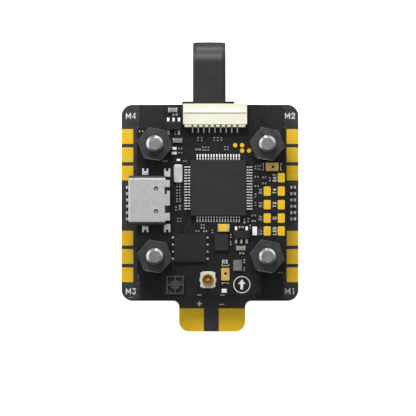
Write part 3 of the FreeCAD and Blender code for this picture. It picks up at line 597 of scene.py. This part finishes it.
# Single-stroke capitals and figures on a field one unit wide and one unit high: points of each line as x,y,
# with a slash where the pen lifts.
STROKES = {
    "M": "0,0 0,1 .5,.3 1,1 1,0",
    "R": "0,0 0,1 .7,1 1,.85 1,.6 .7,.45 0,.45 / .5,.45 1,0",
    "X": "0,0 1,1 / 0,1 1,0",
    "F": "0,0 0,1 1,1 / 0,.52 .8,.52",
    "C": "1,.8 .75,1 .25,1 0,.75 0,.25 .25,0 .75,0 1,.2",
    "G": "1,.85 .75,1 .25,1 0,.75 0,.25 .25,0 .75,0 1,.2 1,.4",
    "B": "0,0 0,1 .7,1 .9,.8 .7,.55 0,.55 / .7,.55 1,.28 .7,0 0,0",
    "A": "0,0 .5,1 1,0 / .2,.35 .8,.35",
    "T": "0,1 1,1 / .5,1 .5,0",
    "L": "0,1 0,0 .9,0",
    "E": "1,1 0,1 0,0 1,0 / 0,.52 .8,.52",
    "D": "0,0 0,1 .6,1 1,.7 1,.3 .6,0 0,0",
    "Z": "0,1 1,1 0,0 1,0",
    "V": "0,1 .5,0 1,1",
    "-": ".1,.5 .9,.5",
    "1": ".32,.98 .62,.98 .62,0",
    "2": "0,.75 .25,1 .75,1 1,.75 .9,.5 0,0 1,0",
    "3": "0,1 1,1 .5,.6 .8,.55 1,.3 .75,0 .25,0 0,.2",
    "4": ".75,0 .75,1 0,.3 1,.3",
    "5": "1,1 .1,1 .1,.58 .7,.6 1,.4 1,.2 .75,0 .25,0 0,.15",
}
WIDTHS = {"M": 0.85, "1": 0.55, "-": 0.5, "G": 0.8, "D": 0.65}
USUAL_WIDTH = 0.6


def lettering(bm, text, centre, height, z, turn=0.0, below=False):
    """Raised capitals of that height, centred on a level point and read from above, or from below."""
    width = 0.17 * height
    gap = 0.3 * height
    overlap = 0.45 * width
    # Strokes that cross end at slightly different heights, so that no two faces lie in one plane.
    step_up = 0.0006 * MM
    spin = Matrix.Rotation(math.radians(turn), 2)
    widths = [WIDTHS.get(letter, USUAL_WIDTH) * height - width for letter in text]
    x = -(sum(widths) + (gap + width / 2) * (len(text) - 1)) / 2
    top = z + PRINT / 2
    for letter, across in zip(text, widths):
        for line in STROKES[letter].split("/"):
            pairs = [point.split(",") for point in line.split()]
            level = [(x + float(u) * across, (float(v) - 0.5) * (height - width)) for u, v in pairs]
            points = [spin @ Vector(point) for point in level]
            for a, b in zip(points, points[1:]):
                along = (b - a).normalized() * overlap
                ends = [a - along, b + along]
                if below:
                    ends = [Vector((-p.x, p.y)) for p in ends]
                top += step_up
                strip(bm, [(centre[0] + p.x, centre[1] + p.y) for p in ends], width, 2 * z - top, top)
        x += across + gap + width / 2


def printed_line(bm, points, width, z, loop=False):
    strip(bm, points, width, z - PRINT / 2, z + PRINT / 2, loop)


def make_fc_marks():
    """Print on the upper board: pad labels, button names, two dashes and a plain forward arrow in a ring."""
    z = FC_HIGH.z
    bm = bmesh.new()
    faint = bmesh.new()
    pads = solid_boxes("fc_solder_pads")
    columns = sorted({round(low.x, 5) for low, high in pads})
    words = {0: ("BZ-", "5V", "R3", "R4"), 1: ("LED", "G", "T3", "T4", "BAT")}
    label_gap, label_height = mm(0.56, 0.62)
    for column, left in enumerate(columns):
        group = sorted((box for box in pads if abs(box[0].x - left) < 0.1 * MM), key=lambda box: box[0].y)
        for word, (low, high) in zip(words[column], group):
            spot = (low.x - label_gap, (low.y + high.y) / 2)
            lettering(bm if column else faint, word, spot, label_height, z, 90)
    name_off, name_aside, name_height = mm(2.25, 0.05, 0.7)
    for button, word, turn, dx, dy in (("fc_button_base", "FC", 90, -name_off, -name_aside),
                                       ("rx_button_base", "RX", 0, -name_aside, name_off)):
        middle = middle_of(*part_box(button))
        lettering(faint if turn else bm, word, (middle.x + dx, middle.y + dy), name_height, z, turn)
    beside_sensor, before_button = mm(0.75, 1.85)
    sensor, button = middle_of(*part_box("oscillator_can")), middle_of(*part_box("rx_button_base"))
    arrow = Vector((sensor.x + beside_sensor, button.y - before_button))
    ring_radius, ring_width = mm(1.45, 0.16)
    printed_line(bm, circle(arrow, ring_radius, z, 48), ring_width, z, loop=True)
    head = [(0, 1.0), (0.68, 0.1), (0.25, 0.1), (0.25, -0.85), (-0.25, -0.85), (-0.25, 0.1), (-0.68, 0.1)]
    flat = [arrow + Vector(p) * MM for p in head]
    skin(bm, [[(*p, z + lift) for p in flat] for lift in (-PRINT / 2, PRINT / 2)])
    dash_half, dash_width, dash_inset = mm(0.35, 0.15, 0.14)
    y = FC_LOW.y + dash_inset
    for x in (-2.1 * MM, 2.0 * MM):
        printed_line(faint, [(x - dash_half, y), (x + dash_half, y)], dash_width, z)
    piece("fc_print", bm, "white_print", smooth=None)
    piece("fc_print_faint", faint, "grey_print", smooth=None)


def make_esc_marks():
    """White print on both faces of the lower board: motor numbers and battery polarity."""
    bm = bmesh.new()
    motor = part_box("esc_motor_pads")
    battery = solid_boxes("esc_battery_pads")
    left = min(battery, key=lambda box: box[0].x)
    right = max(battery, key=lambda box: box[1].x)
    columns = {-1: motor[0].x + 1.68 * MM, 1: motor[1].x - 1.5 * MM}
    lines = {1: motor[1].y + 2.4 * MM, -1: motor[0].y - 1.65 * MM}
    letter_height = 1.1 * MM
    names = {(-1, 1): "M4", (1, 1): "M2", (-1, -1): "M3", (1, -1): "M1"}
    for (side, end), word in names.items():
        spot = (columns[side], lines[end])
        lettering(bm, word, spot, letter_height, ESC_HIGH.z)
        lettering(bm, word, spot, letter_height, ESC_LOW.z, below=True)
    top = left[1].y
    plus = Vector((left[1].x - 0.8 * MM, top + 0.85 * MM))
    minus = Vector((right[0].x + 0.55 * MM, top + 0.72 * MM))
    arm, thick, thin = mm(0.45, 0.24, 0.15)
    upright_lift = 0.001 * MM
    for z in (ESC_HIGH.z, ESC_LOW.z):
        for centre, width, directions in ((plus, thick, ((1, 0), (0, 1))), (minus, thin, ((1, 0),))):
            for direction in directions:
                reach = Vector(direction) * arm
                half = PRINT / 2 + direction[1] * upright_lift
                strip(bm, [centre - reach, centre + reach], width, z - half, z + half)
    piece("esc_print", bm, "white_print", smooth=None)


# ---- Solder


def solder_joint(bm, low, high, board_z, reach, climb=0.6):
    """A pad under a terminal and the concave fillet of solder that climbs its sides."""
    up = 1 if (low.z + high.z) / 2 > board_z else -1
    tall = high.z - low.z
    pad = 0.02 * MM
    skin_of_tin, corner = mm(0.004, 0.01)
    levels = [(reach, 0.0), (reach, pad), (reach * 0.8, pad * 1.3), (reach * 0.4, pad + 0.18 * climb * tall),
              (reach * 0.14, pad + 0.5 * climb * tall), (skin_of_tin, climb * tall)]
    skin(bm, [outline(low, high, grow, 0.3 * reach + corner, board_z + up * z) for grow, z in levels])


def toe(low, high, centre, depth):
    """The short stretch of board just past a lead's outer end, as a box that the toe's solder covers."""
    overlap, height = mm(0.05, 0.1)
    middle = middle_of(low, high)
    across = 0 if high.x - low.x > high.y - low.y else 1
    low, high = low.copy(), high.copy()
    if middle[across] > centre[across]:
        low[across] = high[across] - overlap
        high[across] += depth
    else:
        high[across] = low[across] + overlap
        low[across] -= depth
    high.z = low.z + height
    return low, high


def header_toes(bm, node, board_high):
    """Solder at the outer tips of a ribbon header's contacts."""
    tip_length = 1.0 * MM
    for low, high in solid_boxes(node):
        tip = toe(low, Vector((high.x, low.y + tip_length, high.z)), board_high, 0.1 * MM)
        solder_joint(bm, *tip, board_high.z, 0.015 * MM, 0.8)


def make_solder():
    """Solder at the terminals and lead toes of both boards."""
    bright, dull, shaded = bmesh.new(), bmesh.new(), bmesh.new()
    for low, high in solid_boxes("chip_terminals"):
        solder_joint(dull, low, high, FC_HIGH.z, 0.025 * MM, 0.5)
    for low, high in solid_boxes("tantalum_ends"):
        solder_joint(bright, low, high, FC_HIGH.z, 0.05 * MM, 0.4)
    for node, package in (("mcu_leads", "mcu_package"), ("regulator_leads", "regulators")):
        centres = [middle_of(*box) for box in solid_boxes(package)]
        for low, high in solid_boxes(node):
            middle = middle_of(low, high)
            nearest = min(centres, key=lambda centre: (centre - middle).length)
            solder_joint(bright, *toe(low, high, nearest, 0.08 * MM), FC_HIGH.z, 0.01 * MM, 0.7)
    header_toes(bright, "fc_header_contacts", FC_HIGH)
    # The lower board's joints and header toes take the dark tin: painted shade under the upper board.
    for node in ("esc_capacitor_ends", "esc_mosfet_leads"):
        for low, high in solid_boxes(node):
            face = ESC_HIGH.z if low.z > middle_of(ESC_LOW, ESC_HIGH).z else ESC_LOW.z
            solder_joint(shaded, low, high, face, 0.03 * MM, 0.5)
    header_toes(shaded, "esc_header_contacts", ESC_HIGH)
    for name, bm, look in (("fc_solder", bright, "tinned_metal"), ("fc_chip_solder", dull, "dull_tin"),
                           ("esc_solder", shaded, "dim_tin")):
        piece(name, bm, look, smooth=50)


# ---- Small details


def make_nut_edge_highlights():
    """A painted highlight: a thin strip of pale metal along the front edge of each nut's top face, where the
    edge catches the light.
    """
    highlight_side, highlight_within = Vector((-0.2, -0.98)), 0.8
    inset, width = 0.995, 0.07 * MM
    below, above = mm(0.03, 0.012)
    bm = bmesh.new()
    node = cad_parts["nuts"]
    corners = [node.matrix_world @ v.co for v in node.data.vertices]
    top = {tuple(round(c, 7) for c in corner) for corner in corners if corner.z > NUT_TOP - TINY}
    bore, beyond_corners, shortest = mm(2, 4, 0.5)
    for axis in SCREW_AXES:
        rim = [Vector(p[:2]) - axis.xy for p in top]
        rim = sorted((p for p in rim if bore < p.length < beyond_corners), key=lambda p: math.atan2(p.y, p.x))
        for a, b in zip(rim, rim[1:] + rim[:1]):
            if ((a + b) / 2).normalized().dot(highlight_side) > highlight_within and (a - b).length > shortest:
                ends = [axis.xy + a * inset, axis.xy + b * inset]
                strip(bm, ends, width, NUT_TOP - below, NUT_TOP + above)
    piece("nut_wear", bm, "dull_tin")


def make_shell_edge_highlight():
    """The folded front edge of the socket's shell as a painted highlight: a pale strip, brighter than the
    sheet.
    """
    low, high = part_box("usb_shell")
    lip, set_back, above = mm(0.13, 0.005, 0.006)
    round_corner = 0.8 * MM
    x = low.x + lip / 2 + set_back
    bm = bmesh.new()
    strip(bm, [(x, low.y + round_corner), (x, high.y - round_corner)], lip, high.z - lip, high.z + above)
    piece("usb_lip", bm, "lamp_white")


def make_domes():
    """Snap domes under the plungers."""
    arc = [(0.02, 1.0), (0.4, 0.94), (0.56, 0.82), (0.72, 0.65), (0.88, 0.4), (1.0, 0.18), (1.0, 0.0),
           (0.9, 0.0), (0.78, 0.24), (0.66, 0.44), (0.52, 0.58), (0.36, 0.68), (0.02, 0.71)]
    for name in BUTTONS:
        low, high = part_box(f"{name}_dome")
        radius, tall = (high.x - low.x) / 2, high.z - low.z
        foot = Vector(((low.x + high.x) / 2, (low.y + high.y) / 2, low.z))
        bm = bmesh.new()
        lathe(bm, foot, [(r * radius, low.z + h * tall) for r, h in arc], 40)
        dome = piece(f"{name}_snap_dome", bm, "dome_steel", smooth=50)
        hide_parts(f"{name}_dome")
        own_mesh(dome)


def make_header_highlight():
    """A painted highlight: the low pale ridge, a whiter strip along the top of the upper header, behind its
    step, where the top catches the light.
    """
    low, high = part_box("fc_header")
    step_depth, behind_step, side_gap, width = mm(1.6, 0.34, 0.13, 0.6)
    y = high.y - step_depth + behind_step
    bm = bmesh.new()
    below, above = mm(0.03, 0.015)
    strip(bm, [(low.x + side_gap, y), (high.x - side_gap, y)], width, high.z - below, high.z + above)
    piece("header_ridge", bm, "ridge_white")


def make_button_highlights_and_caps():
    """Each button's stem gets a bright gold rim, a painted highlight, and a dark cap, partly the stem's own
    black and partly painted shade in its hole; both move with the plunger.
    """
    flange = 0.06 * MM
    rim = [(0.4, 0.0), (0.39, 0.02), (0.2, 0.014), (0.05, 0.012)]
    cap = [(0.25, -0.09), (0.18, 0.004), (0.02, 0.006)]
    for name in BUTTONS:
        low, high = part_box(f"{name}_plunger")
        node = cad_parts[f"{name}_plunger"]
        corners = [node.matrix_world @ v.co for v in node.data.vertices]
        crown = [corner for corner in corners if corner.z > high.z - TINY]
        crown_middle = sum(crown, Vector()) / len(crown)
        for end, centre, base, profile, steps, look, slot in (
                ("well", middle_of(low, high), low.z + flange, rim, 32, "rim_gold", "gold_plating"),
                ("cap", crown_middle, high.z, cap, 24, "cap_black", "moulding_black")):
            bm = bmesh.new()
            lathe(bm, centre, [(radius * MM, base + z * MM) for radius, z in profile], steps)
            piece(f"{name}_{end}", bm, look, name)


def make_small_pads():
    """Gold anchor pads past both ends of the lower header, and pairs of tinned test points on both boards."""
    low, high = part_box("esc_header")
    near, far, width, inset = mm(0.08, 0.95, 0.28, 0.16)
    lift = 0.035 * MM
    y = ESC_HIGH.y - inset
    bm = bmesh.new()
    for x0, x1 in ((low.x - far, low.x - near), (high.x + near, high.x + far)):
        strip(bm, [(x0, y), (x1, y)], width, ESC_HIGH.z - lift / 2, ESC_HIGH.z + lift)
    piece("esc_anchor_pads", bm, "gold_plating")
    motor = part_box("esc_motor_pads")[0]
    beyond_nut = HALF_PITCH + 2.1 * MM
    half_length, point_width = mm(0.09, 0.2)
    for name, face, first, y, pitch, look in (
            ("esc_test_points", ESC_HIGH, motor.x + 1.5 * MM, motor.y - 2.75 * MM, 0.42 * MM, "dull_tin"),
            ("fc_test_points_left", FC_HIGH, -beyond_nut - 0.69 * MM, beyond_nut + 0.22 * MM, 0.55 * MM,
             "tinned_metal"),
            ("fc_test_points_right", FC_HIGH, beyond_nut, -beyond_nut - 0.83 * MM, 0.5 * MM, "dull_tin")):
        bm = bmesh.new()
        for x in (first, first + pitch):
            ends = [(x - half_length, y), (x + half_length, y)]
            strip(bm, ends, point_width, face.z - TINY, face.z + 2 * TINY)
        piece(name, bm, look)


# ---- Copper under the solder mask

RELIEF = 0.025 * MM
EDGE_GAP = 0.35 * MM
PART_GAP = 0.12 * MM
HOLE_GAP = 0.1 * MM


def drawn_over(blocked, low, high):
    """Whether a level rectangle touches any of the blocked ones."""
    return any(low[0] < b[1].x and high[0] > b[0].x and low[1] < b[1].y and high[1] > b[0].y for b in blocked)


def inside(areas, low, high):
    """Whether a level rectangle lies within one of the areas, each given as x0, x1, y0, y1."""
    return any(a[0] <= low[0] and a[1] >= high[0] and a[2] <= low[1] and a[3] >= high[1] for a in areas)


def footprints(nodes, margin):
    """Level rectangles round every solid of these nodes."""
    grow = Vector((margin, margin, 0))
    return [(low - grow, high + grow) for node in nodes for low, high in solid_boxes(node)]


def board_holes():
    """Squares round the four screw holes, a little wider than the grommets' flanges."""
    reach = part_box("fc_grommets")[1].x - HALF_PITCH + HOLE_GAP
    corner = Vector((reach, reach, 0))
    return [(axis - corner, axis + corner) for axis in SCREW_AXES]


def scatter_vias(bm, areas, blocked, z, count, seed, up):
    """Small plated holes: a raised ring round a shallow dished centre, clear of everything on the board."""
    draw = random.Random(seed)
    placed = []
    tries_each = 12
    outer, inner, clear = mm(0.17, 0.08, 0.05)
    spacing, reach = 3 * outer, outer + clear
    top = RELIEF * up
    ring = [(outer, z - 0.2 * top), (outer, z + 0.6 * top), (outer * 0.85, z + top), (inner, z + top),
            (inner * 0.8, z + 0.35 * top)]
    x0, x1 = min(a[0] for a in areas), max(a[1] for a in areas)
    y0, y1 = min(a[2] for a in areas), max(a[3] for a in areas)
    for _ in range(count * tries_each):
        spot = Vector((draw.uniform(x0, x1), draw.uniform(y0, y1), z))
        low = (spot.x - reach, spot.y - reach)
        high = (spot.x + reach, spot.y + reach)
        if not inside(areas, low, high) or drawn_over(blocked, low, high):
            continue
        if any((spot - other).length < spacing for other in placed):
            continue
        placed.append(spot)
        lathe(bm, spot, ring, 14)
        if len(placed) == count:
            break


def run_traces(bm, areas, blocked, z, starts, seed, up, width):
    """Copper tracks seen as low ridges: a straight run, a 45 degree jog and another straight run.

    Returns the level rectangles that the tracks cover.
    """
    draw = random.Random(seed)
    tries, cuts = 14, 6
    half = width * 0.9
    corner = Vector((half, half, 0))
    low_z, high_z = sorted((z - 0.2 * RELIEF * up, z + RELIEF * up))
    laid = []
    for start, heading in starts:
        for _ in range(tries):
            side = draw.choice((-1, 1))
            first = draw.uniform(0.5, 2.2) * MM
            jog = draw.uniform(0.3, 1.4) * MM
            last = draw.uniform(0.4, 3.0) * MM
            ahead = Vector(heading)
            across = Vector((-ahead.y, ahead.x)) * side
            points = [Vector(start[:2])]
            for step in (ahead * first, (ahead + across) * jog, ahead * last):
                points.append(points[-1] + step)
            boxes = []
            for a, b in zip(points, points[1:]):
                for i in range(cuts):
                    p, q = a.lerp(b, i / cuts), a.lerp(b, (i + 1) / cuts)
                    low = Vector((min(p.x, q.x), min(p.y, q.y), 0))
                    high = Vector((max(p.x, q.x), max(p.y, q.y), 0))
                    boxes.append((low - corner, high + corner))
            if all(inside(areas, *box) and not drawn_over(blocked + laid, *box) for box in boxes[1:]):
                laid += boxes
                strip(bm, points, width, low_z, high_z)
                break
    return laid


def outward_starts(node, package):
    """Just outside each lead of a package, with the direction that it points in."""
    gap = 0.15 * MM
    starts = []
    centres = [middle_of(*box) for box in solid_boxes(package)]
    for low, high in solid_boxes(node):
        middle = middle_of(low, high)
        off = middle - min(centres, key=lambda centre: (centre - middle).length)
        along_x = high.x - low.x > high.y - low.y
        heading = Vector((math.copysign(1, off.x), 0)) if along_x else Vector((0, math.copysign(1, off.y)))
        edge = high if heading.x + heading.y > 0 else low
        start = Vector((edge.x, middle.y)) if along_x else Vector((middle.x, edge.y))
        starts.append((start + heading * gap, heading))
    return starts


def starts_round(boxes, per_side):
    """Evenly spaced starts just outside all four sides of each chip, each heading away from it."""
    gap = 0.2 * MM
    starts = []
    for low, high in boxes:
        for i in range(per_side):
            x = low.x + (high.x - low.x) * (i + 0.5) / per_side
            y = low.y + (high.y - low.y) * (i + 0.5) / per_side
            starts += [((x, low.y - gap), (0, -1)), ((x, high.y + gap), (0, 1)),
                       ((low.x - gap, y), (-1, 0)), ((high.x + gap, y), (1, 0))]
    return starts


def printed_marks():
    """Level rectangles round the print on the upper board, which tracks and holes keep clear of."""
    margin = Vector((0.2 * MM, 0.2 * MM, 0))
    every = 6
    boxes = []
    for name in ("fc_print", "fc_print_faint"):
        corners = [v.co for v in bpy.data.objects[name].data.vertices]
        boxes += [(corner - margin, corner + margin) for corner in corners[::every]]
    return boxes


def lay_copper(board, up, areas, blocked, runs, width, holes, seed):
    """Tracks from each run's starts, then plated holes, on the upper or the lower face of a board."""
    low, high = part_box(f"{board}_board")
    z = high.z if up > 0 else low.z
    bm = bmesh.new()
    for starts, run_seed in runs:
        blocked = blocked + run_traces(bm, areas, blocked, z, starts, run_seed, up, width)
    scatter_vias(bm, areas, blocked, z, holes, seed, up)
    name = f"{board}_copper" if up > 0 else f"{board}_copper_below"
    piece(name, bm, f"{board}_masked_copper")


def make_fc_copper():
    """Tracks and plated holes under the mask of the upper board, on both faces."""
    holes, width = 150, 0.14 * MM
    arms_y = 13.1 * MM
    tongue_x0, tongue_x1 = mm(-8.25, 8.55)
    areas = [(FC_LOW.x + EDGE_GAP, FC_HIGH.x - EDGE_GAP, EDGE_GAP - arms_y, arms_y - EDGE_GAP),
             (tongue_x0, tongue_x1, FC_LOW.y + EDGE_GAP, FC_HIGH.y - EDGE_GAP)]
    on_top = [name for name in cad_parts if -TINY <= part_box(name)[0].z - FC_HIGH.z < 0.2 * MM]
    blocked = footprints(on_top, PART_GAP) + board_holes() + printed_marks()
    leads = outward_starts("mcu_leads", "mcu_package")
    others = outward_starts("regulator_leads", "regulators") + outward_starts("flash_contacts", "flash_chip")
    lay_copper("fc", 1, areas, blocked, [(leads, 11), (others, 12)], width, holes, 21)
    blocked = footprints(["underside_chips"], 0.15 * MM) + board_holes()
    round_chips = starts_round(solid_boxes("underside_chips"), 9)
    lay_copper("fc", -1, areas, blocked, [(round_chips, 13)], width, holes, 22)


def make_esc_copper():
    """Tracks and plated holes under the mask of the lower board, on both faces."""
    holes, width = 170, 0.2 * MM
    edge_gap, past_pads = mm(0.4, 3)
    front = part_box("esc_motor_pads")[0].y - past_pads
    areas = [(ESC_LOW.x + edge_gap, ESC_HIGH.x - edge_gap, front, ESC_HIGH.y - edge_gap)]
    on_board = [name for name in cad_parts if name.startswith("esc_")
                and name not in ("esc_board", "esc_plug", "esc_grommets")]
    middle_z = middle_of(ESC_LOW, ESC_HIGH).z

    def on_face(boxes, up):
        return [(low, high) for low, high in boxes if (middle_of(low, high).z - middle_z) * up > 0]

    for up, node, seed in ((1, "esc_processors", 14), (-1, "esc_capacitors", 15)):
        blocked = on_face(footprints(on_board, PART_GAP), up) + board_holes()
        starts = starts_round(on_face(solid_boxes(node), up), 8)
        lay_copper("esc", up, areas, blocked, [(starts, seed)], width, holes, seed + 20)


# ---- Stage

# The level point on the upper board that the photo is centred on, and how much it shows.
PHOTO_CENTRE = (-0.555 * MM, -1.395 * MM)
WIDTH_SEEN = 74.4 * MM
CAMERA_HEIGHT = 700 * MM
FLOOR_REACH = 4
FLOOR_GLOW = 0.85
SKY_EVEN = 0.4
SKY_LEFT = 2.0
SKY_RIGHT = 1.4
SKY_DARK = 0.3
KEY_PLACE = (-0.03, 0.16, 0.2)
KEY_SIZE = 0.1
KEY_WATTS = 0.46
STRIP_LONG, STRIP_SHORT = 0.012, 0.005
STRIP_WATTS = 0.003


def make_camera():
    """Straight down from well above the upper board."""
    data = bpy.data.cameras.new("camera")
    data.sensor_width = 36
    data.lens = data.sensor_width * CAMERA_HEIGHT / WIDTH_SEEN
    data.clip_start, data.clip_end = 0.01, 20
    camera = bpy.data.objects.new("camera", data)
    camera.location = (*PHOTO_CENTRE, FC_HIGH.z + CAMERA_HEIGHT)
    bpy.context.scene.collection.objects.link(camera)
    bpy.context.scene.camera = camera


def area_light(name, place, aim, size, watts, size_y=None):
    data = bpy.data.lights.new(name, "AREA")
    data.energy = watts
    data.size = size
    if size_y:
        data.shape = "RECTANGLE"
        data.size_y = size_y
    light = bpy.data.objects.new(name, data)
    light.location = place
    light.rotation_euler = (Vector(aim) - Vector(place)).to_track_quat("-Z", "Y").to_euler()
    light.visible_camera = False
    bpy.context.scene.collection.objects.link(light)


def make_sky():
    """Soft light from all round: brightest low on the left and at the back right, darkest low in front."""
    world = bpy.data.worlds.new("world")
    bpy.context.scene.world = world
    world.use_nodes = True
    tree = world.node_tree
    view = add_node(tree, "TexCoord").outputs["Generated"]
    strength = SKY_EVEN
    # Each glow rises from 0 to its gain as the view turns towards its direction.
    for direction, start, end, gain in (((-0.97, 0.2, 0.1), 0.6, 1.0, SKY_LEFT),
                                        ((0.7, 0.7, 0.1), 0.7, 0.95, SKY_RIGHT),
                                        ((0.15, -1, -0.1), 0.3, 0.9, -SKY_DARK)):
        inputs = {0: view, 1: Vector(direction).normalized()}
        dot = add_node(tree, "VectorMath", inputs, operation="DOT_PRODUCT").outputs["Value"]
        inputs = {"Value": dot, "From Min": start, "From Max": end, "To Min": 0.0, "To Max": gain}
        glow = add_node(tree, "MapRange", inputs, interpolation_type="SMOOTHSTEP").outputs[0]
        strength = add_node(tree, "Math", {0: glow, 1: strength}, operation="ADD").outputs[0]
    background = tree.nodes["Background"]
    tree.links.new(strength, background.inputs["Strength"])
    background.inputs["Color"].default_value = (1, 1, 1, 1)


def make_floor():
    """A plain pale floor just under the screw heads, seen from above only, that lights nothing."""
    bm = bmesh.new()
    bmesh.ops.create_grid(bm, x_segments=1, y_segments=1, size=FLOOR_REACH)
    mesh = bpy.data.meshes.new("floor")
    bm.to_mesh(mesh)
    bm.free()
    floor = bpy.data.objects.new("floor", mesh)
    floor.location.z = cad_box[0].z - TINY
    bpy.context.scene.collection.objects.link(floor)
    paint = Finish(0.9, gloss=0.0)
    paint.material.name = "floor"
    paint.shader.inputs["Base Color"].default_value = (*grey(0.9), 1)
    paint.shader.inputs["Emission Color"].default_value = (1, 1, 1, 1)
    paint.shader.inputs["Emission Strength"].default_value = FLOOR_GLOW
    below = paint.node("NewGeometry").outputs["Backfacing"]
    clear = paint.node("BsdfTransparent").outputs[0]
    either = paint.node("MixShader", {0: below, 1: paint.shader.outputs[0], 2: clear}).outputs[0]
    paint.tree.links.new(either, paint.tree.nodes["Material Output"].inputs["Surface"])
    mesh.materials.append(paint.material)
    floor.visible_diffuse = False
    floor.visible_glossy = False


def make_lights():
    """Soft light from all round, more from behind the board, and a small glow on the ribbon lead's bend."""
    make_sky()
    area_light("key", KEY_PLACE, (0, 0, 0.01), KEY_SIZE, KEY_WATTS)
    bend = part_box("ribbon_lead")[1]
    beyond, above = mm(22, 2)
    area_light("ribbon_strip", (0, bend.y + beyond, bend.z + above), (0, bend.y, bend.z - above), STRIP_LONG,
               STRIP_WATTS, STRIP_SHORT)
    bpy.context.scene.view_settings.view_transform = "Standard"


make_camera()
finish_cad_nodes()
make_screws()
make_ribbon()
make_fc_marks()
make_esc_marks()
make_solder()
make_nut_edge_highlights()
make_shell_edge_highlight()
make_header_highlight()
make_domes()
make_button_highlights_and_caps()
make_small_pads()
make_fc_copper()
make_esc_copper()
make_floor()
make_lights()
